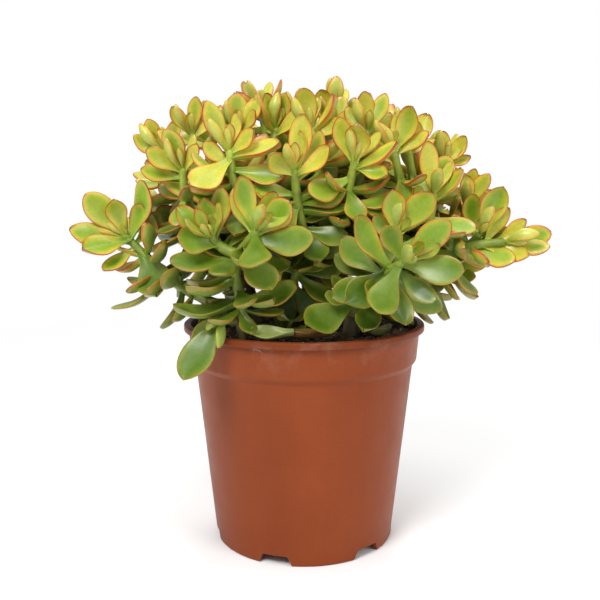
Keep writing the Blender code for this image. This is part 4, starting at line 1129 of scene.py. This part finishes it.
def draw_stem(piece, line, foot_radius, tip_radius, sides, woody, dice, sink=0.0):
    """A jointed stem: it swells at the places where leaves have been."""
    start = line[0] - (line[1] - line[0]).normalized() * sink
    line = [start] + list(line[1:]) if sink else list(line)
    reach = length_of(line)
    steps = max(LEAST_STEM_STEPS, int(reach / (STEM_STEP * MM)))
    joint = dice.uniform(*JOINT_STEP) * MM
    phase = dice.random()
    roughness = WOOD_ROUGHNESS * woody + STEM_ROUGHNESS
    verts = []
    colours = []
    for i, (point, side, up) in enumerate(frames_along(curve_through(line, steps))):
        share = i / (steps - 1)
        z = point.z / MM
        to_joint = abs((share * reach / joint + phase) % 1 - 0.5) * 2
        swell = (1 + JOINT_SWELL * smoothstep(*SWELL_SPAN, to_joint)
                 - SCAR_DEPTH * woody * smoothstep(*SCAR_NECK, to_joint))
        radius = float((foot_radius + (tip_radius - foot_radius) * share) * swell)
        if i == steps - 1 and not woody:
            radius *= TIP_TAPER
        bark = max(woody, float(smoothstep(*BARK_HEIGHTS, z)) * MOST_BARK * (1 - BARK_THINS * share))
        green = mix(STEM_GREEN, STEM_LIME, float(smoothstep(*LIME_HEIGHTS, z)) * share)
        colour = mix(green, mix(BARK_OLIVE, BARK_BROWN, dice.random()), bark)
        colour = mix(colour, SCAR_BROWN, 0.45 * float(smoothstep(*SCAR_SPAN, to_joint)))
        for k in range(sides):
            turn = 2 * math.pi * k / sides
            spot = Vector((math.cos(turn) * 2, math.sin(turn) * 2, point.z * ROUGH_PITCH))
            rough = 1 + roughness * noise.noise(spot)
            verts.append(point + radius * rough * (math.cos(turn) * side + math.sin(turn) * up))
            colours.append(colour)
    piece.add(verts, colours, ring_faces(steps, sides), BARK_SLOT if woody > 0.5 else STEM_SLOT)


# ---------------------------------------------------------------- materials


class Nodes:
    """A material's node tree, with short ways to add what these materials need."""

    def __init__(self, name, **uniform):
        self.material = bpy.data.materials.new(name)
        self.material.use_nodes = True
        self.tree = self.material.node_tree
        self.shader = self.tree.nodes["Principled BSDF"]
        for socket, value in uniform.items():
            self.shader.inputs[socket.replace("_", " ")].default_value = value
        self.place = self.tree.nodes.new("ShaderNodeTexCoord").outputs["Object"]

    def node(self, kind, links=(), **settings):
        """A node with its settings and, from (socket, source) pairs, its links."""
        node = self.tree.nodes.new("ShaderNode" + kind)
        for key, value in settings.items():
            setattr(node, key, value)
        for socket, source in links:
            self.feed(source, node.inputs[socket])
        return node

    def feed(self, source, socket):
        """Puts a number, a colour or another node's output into a socket."""
        if isinstance(source, (int, float)):
            socket.default_value = source
        elif isinstance(source, tuple):
            socket.default_value = source if len(source) == len(socket.default_value) else (*source, 1.0)
        else:
            self.tree.links.new(source, socket)

    def stretched(self, stretch):
        if stretch is None:
            return self.place
        return self.node("Mapping", (("Vector", self.place), ("Scale", stretch))).outputs["Vector"]

    def noise(self, scale, detail=3.0, roughness=0.5, stretch=None):
        links = (("Scale", scale), ("Detail", detail), ("Roughness", roughness),
                 ("Vector", self.stretched(stretch)))
        return self.node("TexNoise", links).outputs["Fac"]

    def cells(self, scale, stretch=None):
        links = (("Scale", scale), ("Vector", self.stretched(stretch)))
        return self.node("TexVoronoi", links).outputs["Distance"]

    def ramp(self, source, *stops):
        node = self.node("ValToRGB", (("Fac", source),))
        ramp = node.color_ramp
        while len(ramp.elements) < len(stops):
            ramp.elements.new(0.5)
        for element, (position, value) in zip(ramp.elements, stops):
            element.position = position
            colour = value if isinstance(value, tuple) else (value, value, value)
            element.color = (*colour, 1.0)
        return node.outputs["Color"]

    def mottle(self, noise, *stops):
        """A noise of (scale, detail, roughness, stretch), with a value at each place in its range."""
        return self.ramp(self.noise(*noise), *stops)

    def blend(self, factor, a, b, kind="MIX"):
        node = self.node("Mix", data_type="RGBA", blend_type=kind)
        for source, socket in ((factor, "Factor"), (a, "A"), (b, "B")):
            self.feed(source, node.inputs[socket])
        return node.outputs["Result"]

    def product(self, first, *others):
        for other in others:
            first = self.blend(1.0, first, other, "MULTIPLY")
        return first

    def tint(self):
        """The colour that the mesh carries at its points."""
        return self.node("Attribute", attribute_name="tint").outputs["Color"]

    def fade(self, source, first, last, interpolation="LINEAR"):
        """0 where the source is at first, 1 where it is at last."""
        links = (("Value", source), ("From Min", first), ("From Max", last))
        return self.node("MapRange", links, interpolation_type=interpolation).outputs["Result"]

    def finish(self, colour, roughness, *layers):
        """Feeds the shader. Bump layers are (height, distance in mm, strength)."""
        self.feed(colour, self.shader.inputs["Base Color"])
        self.feed(roughness, self.shader.inputs["Roughness"])
        normal = None
        for height, distance, strength in layers:
            links = [("Distance", distance * MM), ("Strength", strength), ("Height", height)]
            if normal is not None:
                links.append(("Normal", normal))
            normal = self.node("Bump", links).outputs["Normal"]
        self.feed(normal, self.shader.inputs["Normal"])
        return self.material


def leaf_material():
    n = Nodes("leaf", Subsurface_Weight=0.08, Subsurface_Scale=0.002, Coat_Weight=0.33,
              Coat_Roughness=0.26, Specular_IOR_Level=0.3, Subsurface_Radius=FLESH_SCATTER)
    blotch = n.mottle((75, 3, 0.6), (0.3, (0.86, 0.9, 0.8)), (0.72, (1.1, 1.06, 1.15)))
    grain = n.mottle((520, 2, 0.6), (0.32, (0.9, 0.92, 0.88)), (0.68, (1.06, 1.05, 1.08)))
    # Mottled pale veil over the leaves: partly their waxy bloom, partly painted sheen
    bloom_and_sheen = n.mottle((42, 3, 0.6), (0.48, 0.0), (0.76, 0.2))
    colour = n.blend(bloom_and_sheen, n.product(n.tint(), blotch, grain), BLOOM_AND_SHEEN_GREY)
    pores = n.ramp(n.cells(850), (0.0, 0.36), (0.16, 0.0))
    roughness = n.mottle((140, 3, 0.6), (0.3, 0.30), (0.75, 0.46))
    return n.finish(n.blend(pores, colour, PORE_PALE), roughness,
                    (n.noise(60, 2), 0.9, 0.25), (n.noise(420, 3, 0.6), 0.16, 0.35))


def stem_material():
    n = Nodes("green_stem", Coat_Weight=0.1, Coat_Roughness=0.35, Subsurface_Weight=0.06,
              Subsurface_Scale=0.002, Subsurface_Radius=FLESH_SCATTER)
    streak = n.mottle((130, 3, 0.6, (1, 1, 0.35)), (0.3, (0.78, 0.8, 0.72)), (0.7, (1.15, 1.12, 1.1)))
    freckle = n.mottle((650, 2, 0.7), (0.6, 0.0), (0.72, 0.5))
    roughness = n.mottle((200, 2), (0.3, 0.42), (0.75, 0.62))
    return n.finish(n.blend(freckle, n.product(n.tint(), streak), FRECKLE_BROWN), roughness,
                    (n.noise(230, 4, 0.6, (1, 1, 0.5)), 0.35, 0.5))


def bark_material():
    n = Nodes("bark")
    streak = n.mottle((150, 5, 0.65, (1, 1, 0.3)), (0.28, (0.45, 0.42, 0.4)),
                      (0.5, (0.95, 0.95, 0.95)), (0.75, (1.7, 1.6, 1.4)))
    pale = n.mottle((60, 3), (0.52, 0.0), (0.72, 0.4))
    roughness = n.mottle((300, 3), (0.3, 0.66), (0.7, 0.9))
    return n.finish(n.blend(pale, n.product(n.tint(), streak), BARK_PALE), roughness,
                    (n.noise(160, 5, 0.7, (1, 1, 0.4)), 0.9, 0.7),
                    (n.cells(260, (1, 1, 0.3)), 0.4, 0.4))


def pot_material():
    n = Nodes("terracotta_plastic", Specular_IOR_Level=0.15)
    cloud = n.mottle((14, 3, 0.55), (0.3, POT_DARK), (0.72, POT_LIGHT))
    flow = n.mottle((22, 4, 0.6, (1, 1, 0.12)), (0.35, (0.95, 0.95, 0.95)), (0.7, (1.05, 1.06, 1.07)))
    fleck = n.mottle((1300, 2, 0.6), (0.3, (0.92, 0.91, 0.9)), (0.7, (1.07, 1.08, 1.1)))
    height = n.node("SeparateXYZ", (("Vector", n.place),)).outputs["Z"]
    # Painted shadow of the crown: the pot's colour falls to 0.7 from 145 mm to 151 mm up, over the rim
    painted_crown_shadow = n.ramp(height, (0.145, 1.0), (0.151, 0.7))
    colour = n.product(cloud, flow, fleck, painted_crown_shadow)
    dust = n.product(n.mottle((45, 5, 0.7), (0.5, 0.0), (0.78, 0.30)), n.fade(height, 0.128, 0.156))
    roughness = n.mottle((70, 4, 0.6), (0.3, 0.36), (0.72, 0.47))
    return n.finish(n.blend(dust, colour, DUST), roughness, (n.noise(900, 2, 0.6), 0.03, 0.5),
                    (n.noise(240, 3, 0.6, (1, 1, 6)), 0.05, 0.3), (n.noise(16, 2), 0.5, 0.12))


def soil_material():
    n = Nodes("potting_soil")
    crumb = n.mottle((260, 6, 0.75), *zip((0.3, 0.5, 0.7), SOIL_SHADES))
    pale = n.mottle((700, 3, 0.7), (0.66, 0.0), (0.74, 0.55))
    roughness = n.mottle((150, 3), (0.3, 0.78), (0.7, 0.98))
    return n.finish(n.blend(pale, crumb, SOIL_PALE), roughness,
                    (n.noise(210, 6, 0.75), 1.6, 0.9), (n.cells(420), 0.6, 0.6))


def crumb_material():
    n = Nodes("crumbs")
    shade = n.mottle((330, 4, 0.7), (0.3, (0.6, 0.6, 0.6)), (0.7, (1.35, 1.3, 1.25)))
    roughness = n.mottle((400, 2), (0.3, 0.75), (0.7, 0.95))
    return n.finish(n.product(n.tint(), shade), roughness, (n.noise(600, 4, 0.7), 0.3, 0.7))


def dry_material():
    n = Nodes("dry_tissue")
    shade = n.mottle((420, 3, 0.6), (0.3, (0.7, 0.65, 0.6)), (0.7, (1.25, 1.2, 1.2)))
    roughness = n.mottle((300, 2), (0.3, 0.6), (0.7, 0.8))
    return n.finish(n.product(n.tint(), shade), roughness, (n.noise(700, 3), 0.1, 0.5))


# ---------------------------------------------------------------- pot, soil and small things


def turned(name, profile, sides):
    """Closed solid of revolution: a profile of (radius, z) in mm, starting and ending on the axis."""
    verts, faces = spin(profile[1:-1], sides)
    count = len(profile) - 2
    verts += [about_axis(0, 0, profile[0][1]), about_axis(0, 0, profile[-1][1])]
    for i in range(sides):
        here = i * count
        there = (i + 1) % sides * count
        faces.append((len(verts) - 2, here, there))
        faces.append((len(verts) - 1, there + count - 1, here + count - 1))
    return mesh_object(name, verts, faces)


def rounded(outline):
    """The outline's ((radius, z), corner radius) as points, with each corner cut as a curve."""
    points = [point for point, _ in outline]
    out = []
    for i, (point, radius) in enumerate(outline):
        here = Vector(point)
        if radius == 0:
            out.append(tuple(here))
            continue
        before = Vector(points[i - 1]) - here
        after = Vector(points[i + 1]) - here
        a = here + before.normalized() * min(radius, before.length * LONGEST_ROUND)
        b = here + after.normalized() * min(radius, after.length * LONGEST_ROUND)
        for k in range(ROUND_STEPS + 1):
            t = k / ROUND_STEPS
            out.append(tuple(a * (1 - t) ** 2 + here * 2 * t * (1 - t) + b * t * t))
    return out


def draw_pot(material):
    floor_top = FLOOR_UNDERSIDE + POT_WALL
    slope = (WALL_TOP_RADIUS - WALL_FOOT_RADIUS) / (STEP_FOOT - FLOOR_UNDERSIDE)
    foot_inside = FOOT_RADIUS - SKIRT_WALL
    outline = [
        ((0, FLOOR_UNDERSIDE), 0), ((foot_inside, FLOOR_UNDERSIDE), 0.6), ((foot_inside, 0), 0.4),
        ((FOOT_RADIUS, 0), 0.5), ((FOOT_RADIUS + FOOT_FLARE, FOOT_ROUND), 0.6),
        ((WALL_FOOT_RADIUS, FLOOR_UNDERSIDE), 2.0), ((WALL_TOP_RADIUS, STEP_FOOT), 0.7),
        ((BAND_FOOT_RADIUS, STEP_TOP), 0.9), ((BAND_TOP_RADIUS, POT_HEIGHT - RIM_DEPTH), 0.35),
        ((RIM_RADIUS, POT_HEIGHT - RIM_DEPTH), 0.8), ((RIM_RADIUS, POT_HEIGHT), 1.5),
        ((RIM_INNER_RADIUS, POT_HEIGHT), 1.0), ((BAND_FOOT_RADIUS - POT_WALL, STEP_TOP), 0.8),
        ((WALL_TOP_RADIUS - POT_WALL, STEP_FOOT), 0.8),
        ((WALL_FOOT_RADIUS - POT_WALL + slope * POT_WALL, floor_top), 1.0), ((0, floor_top), 0),
    ]
    pot = turned("pot_body", rounded(outline), POT_SIDES_DRAWN)
    cutters = []
    for i in range(NOTCH_COUNT):
        azimuth = NOTCH_AZIMUTH + i * 360 / NOTCH_COUNT
        cutters += [notch_cutter(azimuth), drain_cutter(azimuth)]
    for cutter in cutters:
        cut = pot.modifiers.new(cutter.name, "BOOLEAN")
        cut.operation = "DIFFERENCE"
        cut.object = cutter
    bpy.context.view_layer.update()
    graph = bpy.context.evaluated_depsgraph_get()
    mesh = bpy.data.meshes.new_from_object(pot.evaluated_get(graph))
    pot.modifiers.clear()
    pot.data = mesh
    for cutter in cutters:
        bpy.data.objects.remove(cutter)
    mesh.materials.clear()
    mesh.materials.append(material)
    mesh.shade_smooth()
    mesh.set_sharp_from_angle(angle=math.radians(SHARP_ANGLE))
    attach(pot, "root")
    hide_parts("pot")


def notch_cutter(azimuth):
    """Like the solid's notch, with rounded upper corners."""
    outline = []
    for side in (-1, 1):
        top = side * NOTCH_TOP_ANGLE / 2
        corner = [(side * NOTCH_FOOT_ANGLE / 2, -1.0)]
        corner += [(top + side * outside, NOTCH_HEIGHT - drop) for outside, drop in NOTCH_CORNER]
        outline += corner if side < 0 else corner[::-1]
    verts = []
    for radius in NOTCH_CUT:
        verts += [about_axis(radius, math.radians(azimuth + angle), z) for angle, z in outline]
    return mesh_object(f"cutter_notch_{azimuth:.0f}", verts, ring_faces(2, len(outline)))


def drain_cutter(azimuth):
    centre = about_axis(DRAIN_CIRCLE, math.radians(azimuth), FLOOR_UNDERSIDE)
    mesh = bpy.data.meshes.new("drain")
    work = bmesh.new()
    bmesh.ops.create_cone(work, cap_ends=True, segments=DRAIN_SIDES, radius1=DRAIN_RADIUS * MM,
                          radius2=DRAIN_RADIUS * MM, depth=4 * POT_WALL * MM,
                          matrix=Matrix.Translation(centre))
    work.to_mesh(mesh)
    work.free()
    return link(bpy.data.objects.new(f"cutter_drain_{azimuth:.0f}", mesh))


def soil_level(x, y, radius, outer_radius, sink):
    """Height of the soil's lumpy surface in mm; it falls away towards the pot's wall."""
    relief = sum(height * noise.fractal(Vector((x, y, layer)) * scale, *kind)
                 for height, layer, scale, *kind in SOIL_RELIEF)
    edge = float(smoothstep(SOIL_FLAT_RADIUS, outer_radius, radius))
    level = SOIL_TOP - sink + (SOIL_EDGE_TOP - SOIL_TOP) * edge
    return level + relief * (1 - EDGE_CALM * edge)


def draw_soil(material):
    band = BAND_FOOT_RADIUS - POT_WALL - GAP / MM
    step = WALL_TOP_RADIUS - POT_WALL - GAP / MM
    turns = [2 * math.pi * k / SOIL_TURNS for k in range(SOIL_TURNS)]
    verts = []
    for ring in range(SOIL_RINGS + 1):
        radius = (band + SOIL_EDGE_FLARE) * (ring + 0.5) / (SOIL_RINGS + 0.5)
        for turn in turns:
            x = radius * math.sin(turn)
            y = -radius * math.cos(turn)
            level = soil_level(x, y, radius, band + SOIL_EDGE_FLARE, SOIL_SINK)
            verts.append(Vector((x, y, level)) * MM)
    for radius, z in ((band, STEP_TOP + 0.5), (step, STEP_FOOT - 1.0)):
        verts += [about_axis(radius, turn, z) for turn in turns]
    soil = mesh_object("soil_top", verts, ring_faces(SOIL_RINGS + 3, SOIL_TURNS))
    soil.data.materials.append(material)
    soil.data.shade_smooth()
    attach(soil, "root")
    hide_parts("soil")


def draw_crumbs(material, dice):
    """Clods, bark chips, fibres and a few pale grains lying on the soil."""
    piece = Piece("soil_crumbs")
    for _ in range(CRUMBS):
        radius = CRUMB_CIRCLE * math.sqrt(dice.random())
        turn = dice.uniform(0, 2 * math.pi)
        x = radius * math.sin(turn)
        y = -radius * math.cos(turn)
        kind = dice.random()
        _, spans, dark, light, power = next(row for row in CRUMB_KINDS if kind < row[0])
        sizes = [dice.uniform(*span) for span in spans]
        size = Vector(sizes if len(sizes) == 3 else sizes * 3)
        tint = mix(dark, light, dice.random() ** power)
        level = soil_level(x, y, radius, SOIL_EDGE_RADIUS, CRUMB_SINK)
        add_clod(piece, Vector((x, y, level + size.z * 0.35)), size, tint, dice)
    piece.build([material], [])


def add_clod(piece, centre, size, tint, dice):
    work = bmesh.new()
    bmesh.ops.create_icosphere(work, subdivisions=1, radius=1.0)
    turn = (Matrix.Rotation(dice.uniform(0, math.pi), 3, "Z")
            @ Matrix.Rotation(dice.uniform(-CLOD_TILT, CLOD_TILT), 3, "Y"))
    shift = Vector((dice.uniform(0, 50), 0, 0))
    verts = []
    for v in work.verts:
        rough = 1 + CLOD_ROUGHNESS * noise.noise(v.co * 1.7 + shift)
        spot = turn @ Vector((v.co.x * size.x, v.co.y * size.y, v.co.z * size.z)) * rough
        verts.append((centre + spot) * MM)
    faces = [tuple(v.index for v in f.verts) for f in work.faces]
    work.free()
    piece.add(verts, [tint] * len(verts), faces, 0)


def add_spike(piece, base, tip, radius, tint_foot, tint_tip, bend):
    """A thin dry point, curved by bend across its own way."""
    base = Vector(base) * MM
    tip = Vector(tip) * MM
    way = (tip - base).normalized()
    side = square_to(Vector(bend), way)
    up = way.cross(side)
    verts = []
    colours = []
    for i in range(SPIKE_STEPS + 1):
        t = i / SPIKE_STEPS
        bow = side * (tip - base).length * SPIKE_BOW * math.sin(math.pi * t)
        size = radius * MM * (1 - t) ** 0.8 + SPIKE_POINT * MM
        for k in range(SPIKE_SIDES):
            turn = 2 * math.pi * k / SPIKE_SIDES
            out = math.cos(turn) * side + math.sin(turn) * up
            verts.append(base.lerp(tip, t) + bow + size * out)
            colours.append(mix(tint_foot, tint_tip, t))
    piece.add(verts, colours, ring_faces(SPIKE_STEPS + 1, SPIKE_SIDES), 0)


# ---------------------------------------------------------------- camera, light, floor


def make_camera():
    data = bpy.data.cameras.new("camera")
    data.sensor_width = SENSOR_WIDTH
    data.lens = CAMERA_LENS
    data.clip_start = 0.01
    data.clip_end = 20.0
    camera = link(bpy.data.objects.new("camera", data))
    camera.location = CAMERA_PLACE
    camera.rotation_euler = (math.radians(90 - CAMERA_DIP), 0, 0)
    bpy.context.scene.camera = camera


def area_light(name, place, size, watts):
    data = bpy.data.lights.new(name, "AREA")
    data.shape = "DISK"
    data.size = size
    data.energy = watts
    light = link(bpy.data.objects.new(name, data))
    light.location = place
    light.rotation_euler = (LIGHT_TARGET - Vector(place)).to_track_quat("-Z", "Y").to_euler()


def make_light():
    world = bpy.data.worlds.new("studio")
    world.use_nodes = True
    tree = world.node_tree
    background = tree.nodes["Background"]
    background.inputs["Color"].default_value = (1.0, 1.0, 1.0, 1.0)
    seen = tree.nodes.new("ShaderNodeLightPath").outputs["Is Camera Ray"]
    strength = tree.nodes.new("ShaderNodeMapRange")
    strength.inputs["To Min"].default_value = AMBIENT
    strength.inputs["To Max"].default_value = 1.0
    tree.links.new(seen, strength.inputs["Value"])
    tree.links.new(strength.outputs["Result"], background.inputs["Strength"])
    bpy.context.scene.world = world
    for light in LIGHTS:
        area_light(*light)
    view = bpy.context.scene.view_settings
    view.view_transform = "Standard"
    view.look = "None"
    view.exposure = 0.0


def make_floor():
    mesh = bpy.data.meshes.new("floor")
    half = FLOOR_HALF
    corners = [(-half, -half, 0), (half, -half, 0), (half, half, 0), (-half, half, 0)]
    mesh.from_pydata(corners, [], [(0, 1, 2, 3)])
    floor = link(bpy.data.objects.new("floor", mesh))
    n = Nodes("pale_floor", Roughness=0.9, Specular_IOR_Level=0.1)
    n.feed(n.mottle((3, 2), (0.3, (0.88, 0.88, 0.88)), (0.7, (0.9, 0.9, 0.9))),
           n.shader.inputs["Base Color"])
    distance = n.node("VectorMath", ((0, n.place),), operation="LENGTH").outputs["Value"]
    white = n.node("Emission").outputs["Emission"]
    both = n.node("MixShader", ((0, n.fade(distance, *FLOOR_CLEAR, "SMOOTHSTEP")),
                                (1, n.shader.outputs["BSDF"]), (2, white)))
    n.feed(both.outputs["Shader"], n.tree.nodes["Material Output"].inputs["Surface"])
    mesh.materials.append(n.material)


# ---------------------------------------------------------------- all of it


def main():
    make_camera()
    fence_in()
    grow_trunks()
    fallen = grow_fallen_leaves()
    blades = grow_shoots()
    filler = filler_leaves(list(blades), blades)
    materials = [leaf_material(), stem_material(), bark_material()]
    for i, name in enumerate(TRUNKS):
        piece = Piece(name + "_wood")
        line, foot_radius, top_radius = stems[name]
        line = [line[0] - Vector((0, 0, TRUNK_SINK * MM))] + list(line[1:])
        draw_stem(piece, line, foot_radius, top_radius, TRUNK_SIDES_DRAWN, 1.0,
                  random.Random(TRUNK_SEED + i))
        piece.build(materials, [name])
    for i, name in enumerate(blades):
        dice = random.Random(SHOOT_SEED + i)
        piece = Piece(name + "_grown")
        draw_stem(piece, *stems[name], STEM_SIDES_DRAWN, 0.0, dice, sink=STEM_SINK * MM)
        for leaf in blades[name] + filler[name]:
            draw_leaf(piece, leaf, dice)
        for leaf in young_leaves(name):
            draw_leaf(piece, leaf, dice, age=YOUNG_AGE)
        piece.build(materials, [name])
    for i, (name, leaf) in enumerate(fallen.items()):
        piece = Piece(name + "_drawn")
        draw_leaf(piece, leaf, random.Random(FALLEN_SEED + i), wilt=1.0, tint=FALLEN_LEAVES[name][-1])
        piece.build(materials, [name])
    draw_pot(pot_material())
    draw_soil(soil_material())
    draw_crumbs(crumb_material(), random.Random(CRUMB_SEED))
    dry = Piece("dry_tips")
    for spike in DRY_TIPS + (ROOT_HAIR,):
        add_spike(dry, *spike)
    dry.build([dry_material()], [])
    make_light()
    make_floor()


main()
